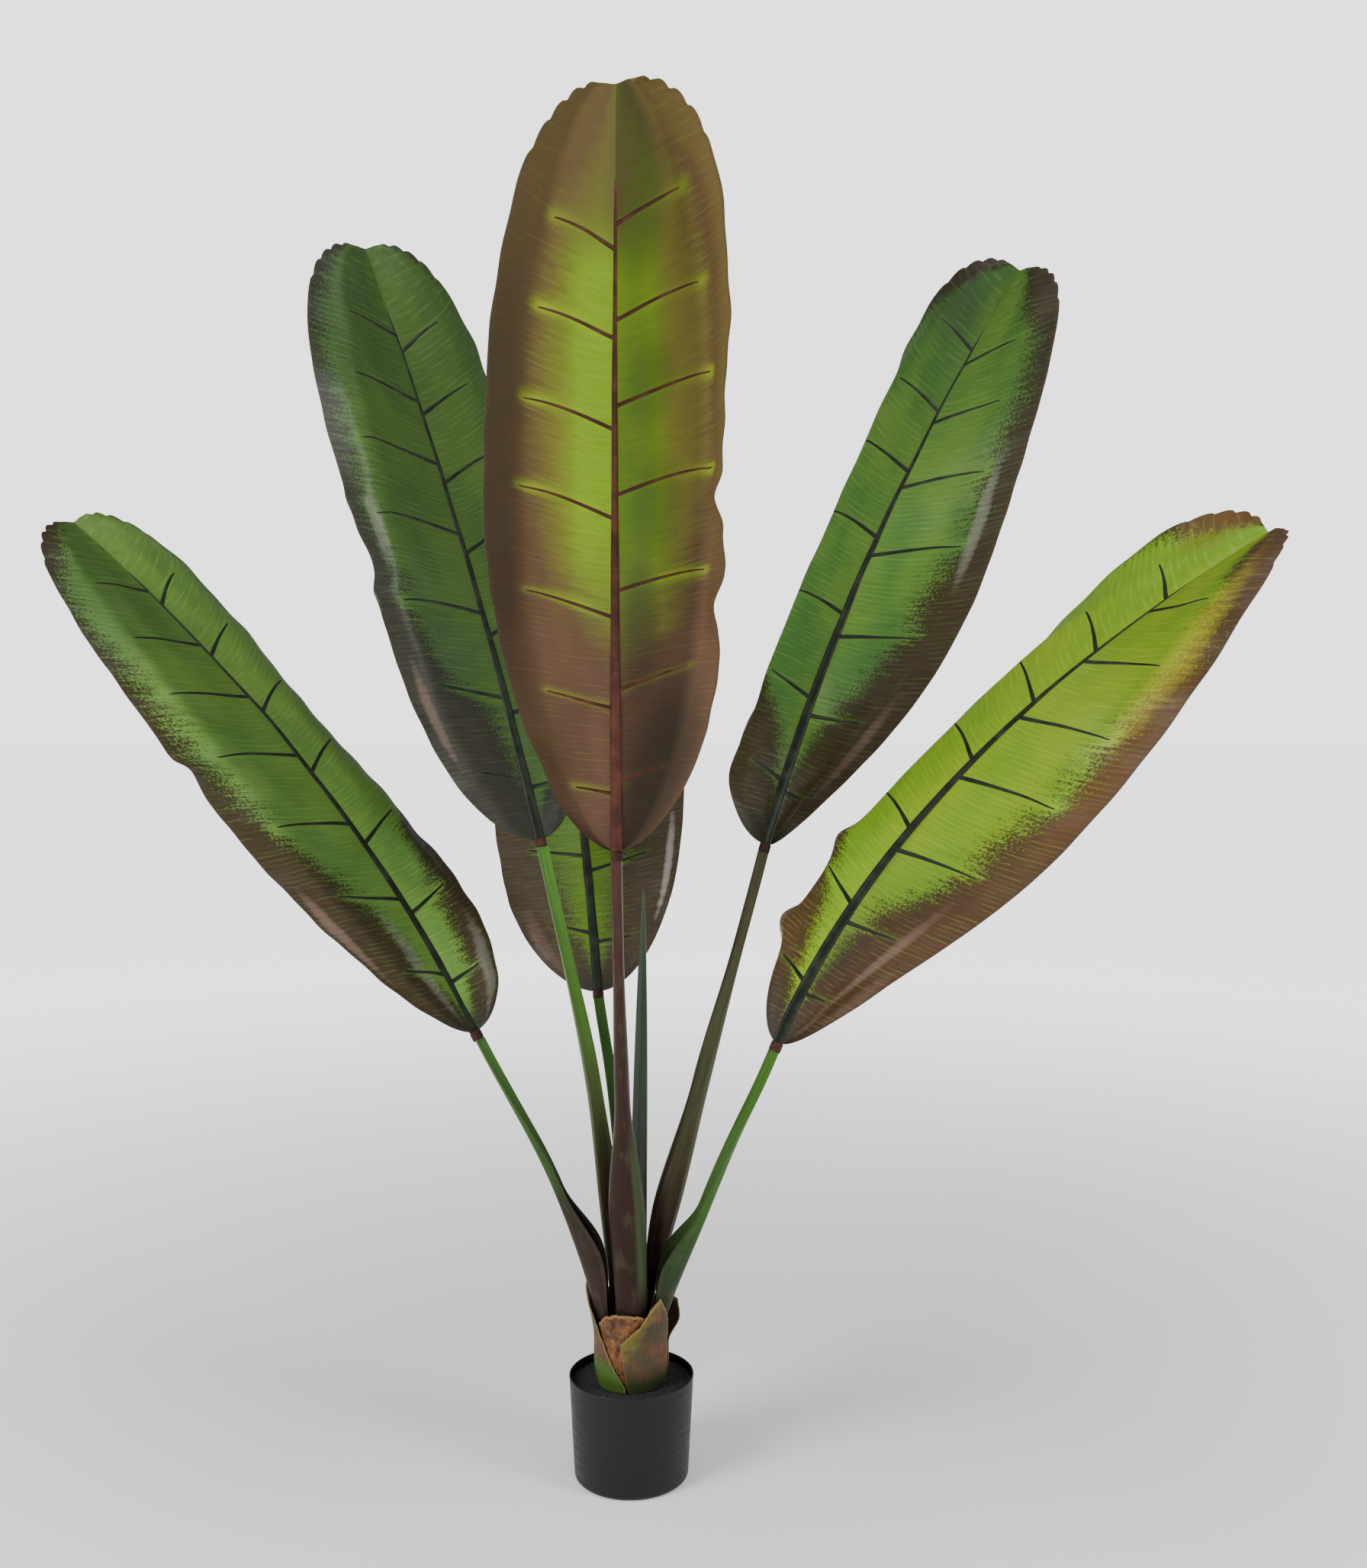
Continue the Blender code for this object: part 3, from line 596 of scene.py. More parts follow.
def make_leaf_finish(name, paint, under):
    """The painted cloth: green in the middle, airbrushed dark along the margins and at the foot."""
    side = "under" if under else "upper"
    finish = Finish(f"leaf_{side}_{name}", Specular_IOR_Level=0.08 if under else 0.11)
    t, across = finish.place()
    share = across * 2.0 - 1.0
    out = finish.size(share)
    right = finish.rise(across, 0.499, 0.501)
    strokes = finish.grain(t * 170.0, share * 4.0, 1.0, 3.0, 0.65)
    stipple = finish.grain(t * 260.0, share * 50.0, 2.0, 2.0)
    broad = finish.grain(t * 5.0, share * 1.6, 3.0, 2.0)
    left_stops, right_stops = (UNDER_LEFT, UNDER_RIGHT) if under else (paint["left"], paint["right"])
    start = finish.curve(t, left_stops, STOP_SCALE) * (1.0 - right)
    start = start + finish.curve(t, right_stops, STOP_SCALE) * right
    glow = finish.node("ShaderNodeAttribute", {"attribute_name": "beside_rib"}, None, "Fac")
    fingers = (glow + 0.0001) ** 0.2 - 0.45
    reach = out - start + (broad - 0.5) * 0.25 - fingers * (0.26 if under else 0.16)
    streaky, stippled, soft = (0.25, 0.1, 0.22) if under else (0.46, 0.72, 0.13)
    ragged = reach + (strokes - 0.5) * streaky + (stipple - 0.5) * stippled
    brown = finish.rise(ragged, -soft, soft)
    lines = leaf_lines(finish, t, out, right)
    middle = finish.rise(out, 0.0, 0.3, 1.0, 0.0)
    if under:
        green = finish.mix(finish.rise(t, 0.28, 0.58), (0.105, 0.078, 0.03), (0.175, 0.3, 0.01))
        green = finish.mix(finish.rise(out, 0.18, 0.6), green, (0.14, 0.14, 0.018))
        rust = finish.mix(finish.rise(broad, 0.35, 0.65), RUST, scaled(RUST, 0.8))
        rust = finish.mix(finish.rise(t, 0.35, 0.75, 0.0, 0.5), rust, OLIVE)
        dark = scaled(RUST, 0.85)
        lime, line_colour = (0.26, 0.42, 0.006), (0.23, 0.24, 0.05)
        glow_strength, glow_on_brown, line_strength = 0.6, 0.24, 0.26
        spots = UNDER_SPOTS
        painted_light = UNDER_PAINTED_LIGHT
    else:
        green = finish.mix(finish.rise(broad, 0.38, 0.66), paint["green"], paint["lime"])
        green = finish.mix(middle * 0.5, green, paint["lime"])
        rust = finish.mix(finish.rise(strokes, 0.3, 0.7), paint["margin"], scaled(paint["margin"], 0.7))
        dark = scaled(paint["margin"], 0.62)
        lime = paint["lime"]
        line_colour = tuple(min(1.0, c * 1.6 + 0.03) for c in lime)
        glow_strength, glow_on_brown, line_strength = 0.55, 0.18, 0.3
        spots = paint["spots"]
        painted_light = paint["light"]
    green = finish.mix(finish.rise(strokes, 0.35, 0.7, 0.0, 0.22), green, scaled(paint["green"], 0.45))
    green = finish.mix(glow * glow_strength * finish.rise(t, 0.0, 0.4, 0.35, 1.0), green, lime)
    rust = finish.mix(finish.rise(reach, 0.05, 0.34), dark, rust)
    finish.colour = finish.mix(brown * 0.94, green, rust)
    finish.cover(glow * brown * glow_on_brown, lime)
    faint = 1.0 - brown * 0.55
    finish.cover(lines * line_strength * faint * finish.rise(out, 0.0, 0.08), line_colour)
    foot = finish.rise(t, 0.0, 0.07, 0.75, 0.0)
    finish.cover(foot, (0.06, 0.03, 0.024) if under else (0.024, 0.024, 0.018))
    # Spots of colour, of painted shade and of painted highlights.
    for hand, place, away, long, wide, strength, tint in spots:
        ahead, aside = (t - place) / long, (share - hand * away) / wide
        far = ahead * ahead + aside * aside + (strokes - 0.5) * (0.5 if under else 1.5)
        near = finish.rise(far, 0.0, 1.3, strength * (1.0 if under else 0.85), 0.0)
        finish.cover(near, tint)
    # Painted light and shade: the inner and the outer part of each half made brighter or darker as light
    # falls on it. The tip is made darker as well.
    outer = finish.rise(out, 0.58, 0.74)
    bright = (1.0 - right) * (painted_light[0] * (1.0 - outer) + painted_light[1] * outer)
    bright = bright + right * (painted_light[2] * (1.0 - outer) + painted_light[3] * outer)
    bright = bright * finish.rise(t, 0.55, 1.0, 1.0, 0.85 if under else paint["tip"])
    finish.colour = finish.shaded(bright)
    worn = finish.rise(out - (strokes - 0.5) * 0.1, 0.965, 1.0, 0.0, 0.55)
    finish.cover(worn, (0.05, 0.034, 0.022))
    groove = finish.node("ShaderNodeMath", {"operation": "SINE"}, {0: t * GROOVE_TURN})
    finish.bump(groove * 0.12 + strokes + broad * 2.0, 0.0007, 0.4)
    low, high = (0.55, 0.66) if under else (0.32, 0.44)
    return finish.paint(finish.colour, finish.rise(strokes, 0.3, 0.7, low, high))


def make_rib_finish(name, dark, light, roughness):
    finish = Finish(name, Specular_IOR_Level=0.12)
    where = finish.where()
    patches = finish.noise(where, 45.0, 3.0)
    finish.bump(finish.noise(where, 420.0, 2.0), 0.0003, 0.4)
    return finish.paint(finish.mix(finish.rise(patches, 0.35, 0.7), dark, light), roughness)


# Leaves
def beside_ribs(hand, t, v):
    """1 on a side rib, fading out over about 12 mm beside it and past its end."""
    most = np.zeros(np.broadcast(t, v).shape)
    for rib, reach in zip(RIBS_RIGHT if hand > 0 else RIBS_LEFT, RIB_REACH):
        away = (t - rib_path(rib, np.minimum(v, reach))) * BLADE_LENGTH
        past = np.clip(v - reach, 0, 1) * HALF_WIDTH * half_width(t)
        spread = np.where(away * hand > 0, 0.007, 0.0042)
        near = np.exp(-((away / spread) ** 2) - (past / 0.007) ** 2) * smooth(v / 0.5) ** 0.5
        most = np.maximum(most, near)
    return most


def make_leaf(name, finishes):
    turns = np.linspace(0, math.pi, LEAF_ROWS)
    t = FIRST_ROW + ROW_SPAN * (1 - np.cos(turns)) / 2
    v = np.linspace(0, 1, HALF_COLUMNS + 1)
    v = 1 - (1 - v) * (1 + 0.25 * v)
    grid = t[:, None], v[None]
    right, facing_right = leaf_skin(name, 1, *grid)
    left, facing_left = leaf_skin(name, -1, *grid)
    middle = (right[:, :1] + left[:, :1]) / 2
    facing_middle = unit(facing_right[:, :1] + facing_left[:, :1])
    points = np.concatenate((left[:, :0:-1], middle, right[:, 1:]), 1)
    facing = np.concatenate((facing_left[:, :0:-1], facing_middle, facing_right[:, 1:]), 1)
    glow = np.concatenate((beside_ribs(-1, *grid)[:, :0:-1], beside_ribs(1, *grid)), 1)
    share = np.concatenate((-v[:0:-1], v))
    place = np.stack(np.broadcast_arrays(t[:, None], (share[None] + 1) / 2), -1).reshape(-1, 2)
    thick = SHEET * (1 - MARGIN_THINNING * np.abs(share[None, :, None]) ** 6)
    half = facing * thick / 2
    both = np.concatenate(((points + half).reshape(-1, 3), (points - half).reshape(-1, 3)))
    front, back, edge = sheet_faces(*points.shape[:2])
    slots = [0] * len(front) + [1] * len(back) + [0] * len(edge)
    piece = new_piece(f"leaf_{name}", both, front + back + edge, finishes, slots,
                      np.concatenate((place, place)), np.concatenate((glow.ravel(), glow.ravel())))
    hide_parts(f"blade_{name}")


def make_ribs(name, finishes):
    """The midrib and side ribs of a leaf, dark above and rusty red below."""
    parts = []
    for side, face in ((0, 1.0), (1, -1.0)):
        for hand, ribs in ((-1, RIBS_LEFT), (1, RIBS_RIGHT)):
            for rib, reach in zip(ribs, RIB_REACH):
                v = np.linspace(0.0, reach, 26)
                points, facing = leaf_skin(name, hand, rib_path(rib, v), v)
                along = v / reach
                wide = SIDE_RIB_WIDTH[side] * (1 - 0.55 * along)
                high = SIDE_RIB_HEIGHT[side] * np.sqrt(np.clip(1.02 - along**2, 0, 1))
                parts.append((side, points, facing * face, wide, high))
        t = np.concatenate((np.linspace(0.0013, 0.06, 12), np.linspace(0.08, 0.955, 90)))
        right, facing_right = leaf_skin(name, 1, t, 0.0)
        left, facing_left = leaf_skin(name, -1, t, 0.0)
        facing = unit(facing_right + facing_left)
        wide = MIDRIB_WIDTH[side] * (1 - t) ** 0.7 + 0.0012
        high = (MIDRIB_HEIGHT[side] * (1 - t) ** 0.7 + 0.0007) * smooth((0.96 - t) / 0.05)
        parts.append((side, (right + left) / 2, facing * face, wide, high))
    points, faces, slots = [], [], []
    for side, centres, up, wide, high in parts:
        ridge_points, ridge_faces = ridge(centres, up, wide, high, RIB_SINK - SHEET / 2)
        first = sum(len(p) for p in points)
        faces += [tuple(first + k for k in face) for face in ridge_faces]
        slots += [side] * len(ridge_faces)
        points.append(ridge_points)
    piece = new_piece(f"ribs_{name}", np.concatenate(points), faces, finishes, slots)
    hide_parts(f"blade_{name}")


# Stalks
COLLAR_LENGTH = 0.012
COLLAR_RADIUS = 0.008
STALK_ROUNDNESS = 0.8
TOP_GROOVE = 0.2
SHEATH_GROOVE = 0.62
FOOT_FLATNESS = 0.47
FOOT_UPRIGHT = 0.3
NARROWING = 1.6
STEM_TOP = 0.2
STALK_ROWS = 90
STALK_ARC = 20
LIP = 0.86


def hermite(first, first_way, last, last_way, s):
    span = np.linalg.norm(last - first)
    a, b = 2 * s**3 - 3 * s**2 + 1, s**3 - 2 * s**2 + s
    c, d = 3 * s**2 - 2 * s**3, s**3 - s**2
    return a * first + b * span * first_way + c * last + d * span * last_way


def collar_ends(leaf):
    start = along_midrib(np.array(0.001), np.array(0.0))
    point, forward, side, upper = midrib_frame(leaf, start)
    top = point - forward * GAP
    return top - forward * COLLAR_LENGTH, top, forward, side, upper


def stalk_back(leaf, k):
    foot = compass(leaf["foot"][0]) * leaf["foot"][1] + np.array((0, 0, STEM_TOP + GAP))
    knee = np.array(leaf["knee"])
    low, _, forward, _, upper = collar_ends(leaf)
    top = low - forward * GAP - upper * leaf["top_width"] * STALK_ROUNDNESS / 2
    foot_way = unit(unit(knee - foot) + np.array((0, 0, FOOT_UPRIGHT)))
    knee_way = unit(unit(knee - foot) + unit(top - knee))
    top_way = unit(forward + 2 * unit(top - knee))
    if k < 1:
        return hermite(foot, foot_way, knee, knee_way, k)
    return hermite(knee, knee_way, top, top_way, k - 1)


def stalk_size(leaf, k):
    wide, deep = leaf["sheath"]
    if k > 1:
        width = leaf["knee_width"] + (leaf["top_width"] - leaf["knee_width"]) * smooth(NARROWING * (k - 1))
        return width, width * STALK_ROUNDNESS, TOP_GROOVE
    swell, closing = smooth(2 * k), smooth(2 * k - 1)
    width = leaf["foot_width"] * (1 - swell) + wide * swell
    depth = leaf["foot_width"] * FOOT_FLATNESS * (1 - swell) + deep * swell
    width = width * (1 - closing) + leaf["knee_width"] * closing
    depth = depth * (1 - closing) + leaf["knee_width"] * STALK_ROUNDNESS * closing
    return width, depth, SHEATH_GROOVE * (1 - closing) + TOP_GROOVE * closing


def stalk_frame(leaf, k):
    back = stalk_back(leaf, k)
    _, _, forward, _, upper = collar_ends(leaf)
    if k < 2:
        forward = unit(stalk_back(leaf, min(k + 0.01, 2.0)) - back)
    turned = smooth(k - 1)
    leaning = compass(leaf["azimuth"]) * (1 - turned) - upper * turned
    near_foot = smooth(1 - k / 0.12)
    forward = unit(forward * (1 - near_foot) + np.array((0.0, 0.0, 1.0)) * near_foot)
    leaning = leaning * (1 - near_foot) + compass(leaf["foot"][0]) * near_foot
    outward = square_to(leaning, forward)
    return back, outward, np.cross(outward, forward)


def make_stalk(name, finish):
    leaf = LEAVES[name]
    points, place = [], []
    turns = np.linspace(0, math.pi, STALK_ARC + 1)
    for row in range(STALK_ROWS):
        k = 2 * row / (STALK_ROWS - 1)
        back, outward, side = stalk_frame(leaf, k)
        width, depth, groove = stalk_size(leaf, k)
        depth_in = depth * groove + 0.0006 * math.sin(9 * k)
        lips = back - outward * depth
        for a in turns:
            points.append(lips + side * math.cos(a) * width / 2 + outward * math.sin(a) * depth)
            place.append((k / 2, 0.5 * a / math.pi))
        for a in turns[::-1]:
            points.append(lips + side * math.cos(a) * LIP * width / 2 + outward * math.sin(a) * depth_in)
            place.append((k / 2, 1 - 0.5 * a / math.pi))
    columns = 2 * len(turns)
    faces = grid_faces(STALK_ROWS, columns, closed=True)
    for first in (0, (STALK_ROWS - 1) * columns):
        for i in range(len(turns) - 1):
            faces.append((first + i, first + i + 1, first + columns - 2 - i, first + columns - 1 - i))
    piece = new_piece(f"leafstalk_{name}", points, faces, [finish], None, place)
    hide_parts(f"stalk_{name}")


STALK_PAINT = {
    # colours up the stalk's back, how bright its channel is below and above as painted shade and light in
    # the hollow, colour of its lips
    "far_left": (((0.0, (0.032, 0.018, 0.013)), (0.3, (0.032, 0.02, 0.014)), (0.44, (0.024, 0.024, 0.013)),
                  (0.53, (0.026, 0.066, 0.013)), (1.0, (0.04, 0.125, 0.016))),
                 (0.12, 0.9), (0.045, 0.029, 0.02)),
    "upper_left": (((0.0, (0.034, 0.03, 0.015)), (0.28, (0.044, 0.056, 0.016)), (0.5, (0.058, 0.094, 0.018)),
                    (0.62, (0.056, 0.14, 0.017)), (1.0, (0.052, 0.16, 0.017))),
                   (0.65, 1.0), (0.06, 0.036, 0.022)),
    "front": (((0.0, (0.022, 0.01, 0.007)), (0.35, (0.026, 0.012, 0.008)), (0.7, (0.034, 0.014, 0.01)),
               (1.0, (0.052, 0.019, 0.014))), (0.4, 0.5), (0.026, 0.024, 0.012)),
    "upper_right": (((0.0, (0.024, 0.018, 0.012)), (0.18, (0.04, 0.024, 0.016)), (0.4, (0.046, 0.046, 0.02)),
                     (0.6, (0.048, 0.052, 0.02)), (1.0, (0.046, 0.04, 0.02))),
                    (1.2, 1.0), (0.05, 0.046, 0.023)),
    "far_right": (((0.0, (0.024, 0.018, 0.012)), (0.12, (0.024, 0.03, 0.014)), (0.3, (0.022, 0.052, 0.013)),
                   (0.55, (0.036, 0.105, 0.013)), (1.0, (0.05, 0.15, 0.014))),
                  (0.75, 0.8), (0.036, 0.03, 0.017)),
    "back": (((0.0, (0.026, 0.04, 0.016)), (0.5, (0.034, 0.096, 0.016)), (1.0, (0.046, 0.135, 0.017))),
             (0.7, 0.75), (0.09, 0.13, 0.05)),
}


def make_stalk_finish(name):
    stops, (low, high), lip = STALK_PAINT[name]
    finish = Finish(f"leafstalk_{name}", Specular_IOR_Level=0.1)
    along, around = finish.place()
    streaks = finish.grain(along * 9.0, around * 42.0, 0.0, 3.0, 0.6)
    cloudy = finish.grain(along * 22.0, around * 9.0, 4.0, 2.0)
    finish.colour = finish.colours(along + (cloudy - 0.5) * 0.12, stops)
    finish.cover(finish.rise(streaks, 0.4, 0.75, 0.0, 0.5), (0.012, 0.011, 0.007))
    finish.cover(finish.rise(cloudy, 0.52, 0.72, 0.0, 0.25), (0.08, 0.072, 0.04))
    # Painted shade and light in the stalk's channel: its hollow is multiplied by one brightness below and
    # another above.
    shaded_channel = finish.rise(around, 0.53, 0.58) * finish.rise(around, 0.92, 0.97, 1.0, 0.0)
    depth = finish.rise(along, 0.36, 0.52, low, high)
    finish.cover(shaded_channel, finish.shaded(depth))
    if name == "front":
        # the green strip up its right side
        strip = finish.rise(around + (streaks - 0.5) * 0.05, 0.3, 0.35)
        strip = strip * finish.rise(around, 0.5, 0.51, 1.0, 0.0)
        strip = strip * finish.rise(along, 0.05, 0.14) * finish.rise(along, 0.36, 0.46, 1.0, 0.0)
        finish.cover(strip * 0.85, (0.04, 0.06, 0.024))
    if name == "upper_left":
        # the red slit in its sheath
        slit = finish.rise(finish.size(around - 0.75), 0.02, 0.07, 1.0, 0.0)
        slit = slit * finish.rise(along, 0.1, 0.16) * finish.rise(along, 0.33, 0.39, 1.0, 0.0)
        finish.cover(slit * 0.8, (0.07, 0.022, 0.014))
    edge = finish.rise(finish.size(around - 0.5), 0.46, 0.485)
    middle_edge = finish.rise(finish.size(around - 0.5), 0.015, 0.035, 1.0, 0.0)
    finish.cover((edge + middle_edge) * 0.55, lip)
    finish.bump(streaks + cloudy * 0.5, 0.0006, 0.4)
    return finish.paint(finish.colour, finish.rise(streaks, 0.3, 0.7, 0.36, 0.5))


def make_collar(name, finish):
    """The short moulded sleeve where a leaf is pushed on to its stalk."""
    low, top, forward, side, upper = collar_ends(LEAVES[name])
    points = []
    turns = circle(32)
    rings = ((0.0, 0.7), (0.0, 0.86), (0.06, 0.93), (0.25, 1.0), (0.34, 0.95), (0.5, 0.99), (0.62, 0.95),
             (0.75, 0.99), (0.94, 0.93), (1.0, 0.86), (1.0, 0.7))
    for k, share in rings:
        centre = low + (top - low) * k
        for a in turns:
            points.append(centre + COLLAR_RADIUS * share * (side * math.cos(a) + upper * math.sin(a)))
    faces = grid_faces(len(rings), len(turns), closed=True) + end_faces(len(rings), len(turns))
    piece = new_piece(f"sleeve_{name}", points, faces, [finish])
    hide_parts(f"collar_{name}")


# Husks
HUSK_ROWS = 72
HUSK_LEVELS = 30
HUSK_OUTER = 0.0024
HUSK_INNER = 0.0008
SOIL_TOP = 0.129
WAIST_HEIGHT = 0.165
WAIST_PINCH = 0.1
SLANT_DEGREES = 13
HUSKS = {
    "front_right": (0.0484, (0.185, 0.06, 0.009),
                    ((-106, 0.196), (-92, 0.208), (-76, 0.222), (-62, 0.244), (-47, 0.256), (-16, 0.2))),
    "front_left": (0.0484, (0.185, 0.08, 0.0125),
                   ((100, 0.228), (150, 0.25), (176, 0.262), (200, 0.228), (216, 0.2), (236, 0.172),
                    (262, 0.136))),
    "right_back": (0.0484, (0.18, 0.034, 0.0165),
                   ((-3, 0.172), (8, 0.214), (20, 0.232), (60, 0.226), (97, 0.214))),
    "inner": (0.0446, (0.198, 0.06, 0.011),
              ((-156, 0.212), (-130, 0.231), (-110, 0.237), (-80, 0.236), (-44, 0.222))),
}
HUSK_PAINT = {
    # upper colour, second colour, foot colour, edge colour, height of the foot colour
    "front_right": ((0.115, 0.048, 0.022), (0.052, 0.044, 0.02), (0.03, 0.042, 0.013),
                    (0.19, 0.15, 0.04), 0.15),
    "front_left": ((0.105, 0.054, 0.024), (0.07, 0.052, 0.02), (0.052, 0.105, 0.015),
                   (0.24, 0.18, 0.07), 0.166),
    "right_back": ((0.08, 0.042, 0.02), (0.052, 0.03, 0.018), (0.026, 0.026, 0.014),
                   (0.18, 0.14, 0.04), 0.145),
    "inner": ((0.18, 0.062, 0.02), (0.11, 0.048, 0.018), (0.06, 0.042, 0.018), (0.22, 0.14, 0.05), 0.14),
}


def waist(height):
    below = max(WAIST_HEIGHT - height, 0) / (WAIST_HEIGHT - SOIL_TOP)
    return 1 - WAIST_PINCH * below**2


def make_husk(name, finish):
    radius, (start, rise, reach), edge = HUSKS[name]
    angles, heights = zip(*edge)
    outer, inner, place = [], [], []
    low = SOIL_TOP + GAP
    seed = 2.0 + len(name)
    for row in range(HUSK_ROWS):
        along = row / (HUSK_ROWS - 1)
        azimuth = angles[0] + (angles[-1] - angles[0]) * along
        top = float(np.interp(azimuth, angles, heights)) - 0.0012 * abs(float(ripple(5 * along, 0.0, seed)))
        for level in range(HUSK_LEVELS):
            k = level / (HUSK_LEVELS - 1)
            height = low + (top - low) * k
            slant = SLANT_DEGREES * (1 - along) * (1 - k) if name == "front_right" else 0.0
            out = reach * float(smooth((height - start) / rise))
            wrinkle = 0.0005 * float(ripple(9 * along, 0.6 * k, seed)) * min(1.0, 6 * k)
            around = compass(azimuth + slant)
            up = np.array((0, 0, height))
            outer.append(around * (radius * waist(height) + out + HUSK_OUTER + wrinkle) + up)
            inner.append(around * (radius * waist(height) + out + HUSK_INNER + wrinkle) + up)
            place.append((along, k))
    piece = new_shell(f"husk_shell_{name}", HUSK_ROWS, HUSK_LEVELS, outer, inner, finish, place)
    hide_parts(f"husk_{name}")


def make_husk_finish(name):
    first, second, foot, edge, height = HUSK_PAINT[name]
    finish = Finish(f"dry_husk_{name}", Roughness=0.6, Specular_IOR_Level=0.25)
    along, level = finish.place()
    where = finish.where()
    split = finish.node("ShaderNodeSeparateXYZ", None, {0: where}, 2)
    fibres = finish.grain(along * 60.0, level * 5.0, 0.0, 3.0, 0.6)
    mottle = finish.noise(where, 95.0, 4.0, 0.65)
    broad = finish.noise(where, 26.0, 2.0)
    finish.colour = finish.mix(finish.rise(broad, 0.38, 0.64), first, second)
    finish.cover(finish.rise(fibres, 0.45, 0.72, 0.0, 0.55), (0.026, 0.017, 0.012))
    finish.cover(finish.rise(mottle, 0.52, 0.66, 0.0, 0.45), (0.04, 0.048, 0.014))
    if name == "inner":
        finish.cover(finish.rise(mottle, 0.5, 0.62, 0.0, 0.85), (0.036, 0.015, 0.009))
        finish.cover(finish.rise(mottle, 0.36, 0.46, 0.6, 0.0), (0.23, 0.125, 0.034))
        finish.cover(finish.rise(along, 0.7, 0.95, 0.0, 0.8), (0.14, 0.135, 0.018))
    green = finish.rise(split + (fibres - 0.5) * 0.03, height - 0.012, height + 0.012, 1.0, 0.0)
    finish.cover(green, foot)
    if name == "front_right":
        torn = finish.rise(along * 0.4 + (1.0 - level) + (mottle - 0.5) * 0.8, 0.1, 0.45, 1.0, 0.0)
        finish.cover(torn * 0.75, (0.125, 0.115, 0.015))
        dark = finish.rise(along, 0.35, 0.8) * finish.rise(level, 0.05, 0.3, 1.0, 0.0)
        finish.cover(dark * 0.5, (0.016, 0.018, 0.01))
    lip = finish.rise(level + (mottle - 0.5) * 0.03, 0.955, 0.98)
    side = finish.rise(along, 0.0, 0.03, 1.0, 0.0) + finish.rise(along, 0.97, 1.0)
    finish.cover((lip + side * 0.5) * 0.9, edge)
    finish.bump(fibres + mottle * 0.6, 0.0012, 0.5)
    return finish.paint(finish.colour, finish.rise(mottle, 0.3, 0.7, 0.48, 0.68))


# Pot, soil, stem and the rolled new leaf
RIM_RADIUS = 0.085
BASE_RADIUS = 0.0775
POT_HEIGHT = 0.139
POT_SIDES = 144
WALL = 0.0022
POT_FLOOR = 0.003
CORNER = 0.007
SOIL_INSET = 0.0028
SOIL_CORNER_INSET = 0.0098
ROLL_SHEET = 0.0009
ROLL_TURNS = 1.3
ROLL_TIP = 0.0015
ROLL_FOOT = 0.0125


def lathe(name, profile, finish):
    """A round piece from (radius, height) pairs."""
    points, place = [], []
    for row, (radius, height) in enumerate(profile):
        for a in circle(POT_SIDES):
            points.append((radius * math.cos(a), radius * math.sin(a), height))
            place.append((a / TURN, row / (len(profile) - 1)))
    faces = grid_faces(len(profile), POT_SIDES, closed=True)
    return new_piece(name, points, faces, [finish], None, place)


def pot_radius(height):
    return BASE_RADIUS + (RIM_RADIUS - BASE_RADIUS) * height / POT_HEIGHT


def make_pot(finish):
    profile = [(0.002, 0.0), (0.03, 0.0), (0.055, 0.0)]
    for degrees in range(0, 91, 15):
        a = math.radians(degrees)
        height = CORNER * (1 - math.cos(a))
        profile.append((pot_radius(height) - CORNER * (1 - math.sin(a)), height))
    profile += [(pot_radius(z), z) for z in np.linspace(0.02, POT_HEIGHT - 0.0042, 14)]
    rim = pot_radius(POT_HEIGHT)
    profile += [(rim - 0.00025, POT_HEIGHT - 0.0036), (rim, POT_HEIGHT - 0.0032)]
    profile.append((rim, POT_HEIGHT - 0.001))
    for degrees in (30, 60, 90, 120, 150, 180):
        a = math.radians(degrees)
        height = POT_HEIGHT - 0.001 + 0.001 * math.sin(a)
        profile.append((rim - WALL / 2 + WALL / 2 * math.cos(a), height))
    profile += [(pot_radius(z) - WALL, z) for z in np.linspace(POT_HEIGHT - 0.003, POT_FLOOR + CORNER, 10)]
    profile += [(pot_radius(POT_FLOOR) - WALL - CORNER, POT_FLOOR), (0.002, POT_FLOOR)]
    piece = lathe("nursery_pot", profile, finish)
    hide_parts("pot")


def make_soil(finish):
    low = POT_FLOOR + GAP

    def lumps(x, y):
        rough = float(ripple(x * 60, y * 60, 3.0)) + 0.6 * float(ripple(x * 170, y * 170, 5.0))
        return 0.0009 * rough - 0.0009

    outer = pot_radius(SOIL_TOP) - SOIL_INSET
    rings = [(pot_radius(low) - SOIL_CORNER_INSET, low), (pot_radius(0.01) - SOIL_INSET, 0.01)]
    rings.append((outer, SOIL_TOP - 0.002))
    rings += [(outer * share, SOIL_TOP) for share in np.linspace(0.0, 1.0, 40)[:0:-1]]
    points = []
    for radius, height in rings:
        for a in circle(POT_SIDES):
            x, y = radius * math.cos(a), radius * math.sin(a)
            points.append((x, y, height + (lumps(x, y) if height == SOIL_TOP else 0.0)))
    faces = grid_faces(len(rings), POT_SIDES, closed=True) + end_faces(len(rings), POT_SIDES)
    piece = new_piece("potting_fill", points, faces, [finish])
    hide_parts("soil")


def make_rolled_leaf(finish):
    """The new leaf: one sheet still rolled round itself, with its free edge showing."""
    foot, tip = np.array((0.008, 0.002, STEM_TOP + GAP)), np.array((0.0162, 0.0, 0.797))
    up = np.array((0.0, 0.0, 1.0))
    rows, columns = 110, 64
    outer, inner, place = [], [], []
    for row in range(rows):
        k = row / (rows - 1)
        point = hermite(foot, up, tip, unit(tip - foot), k)
        radius = ROLL_TIP + (ROLL_FOOT - ROLL_TIP) * (1 - k**3.0)
        for column in range(columns):
            c = column / (columns - 1)
            a = math.radians(-70 + 35 * k) + c * 2 * math.pi * ROLL_TURNS
            size = radius * (0.78 + 0.22 * c)
            way = np.array((math.cos(a), math.sin(a), 0.0))
            outer.append(point + way * size)
            inner.append(point + way * max(size - ROLL_SHEET, 0.0003))
            place.append((k, c))
    piece = new_shell("rolled_leaf", rows, columns, outer, inner, finish, place)
    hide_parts("new_leaf")


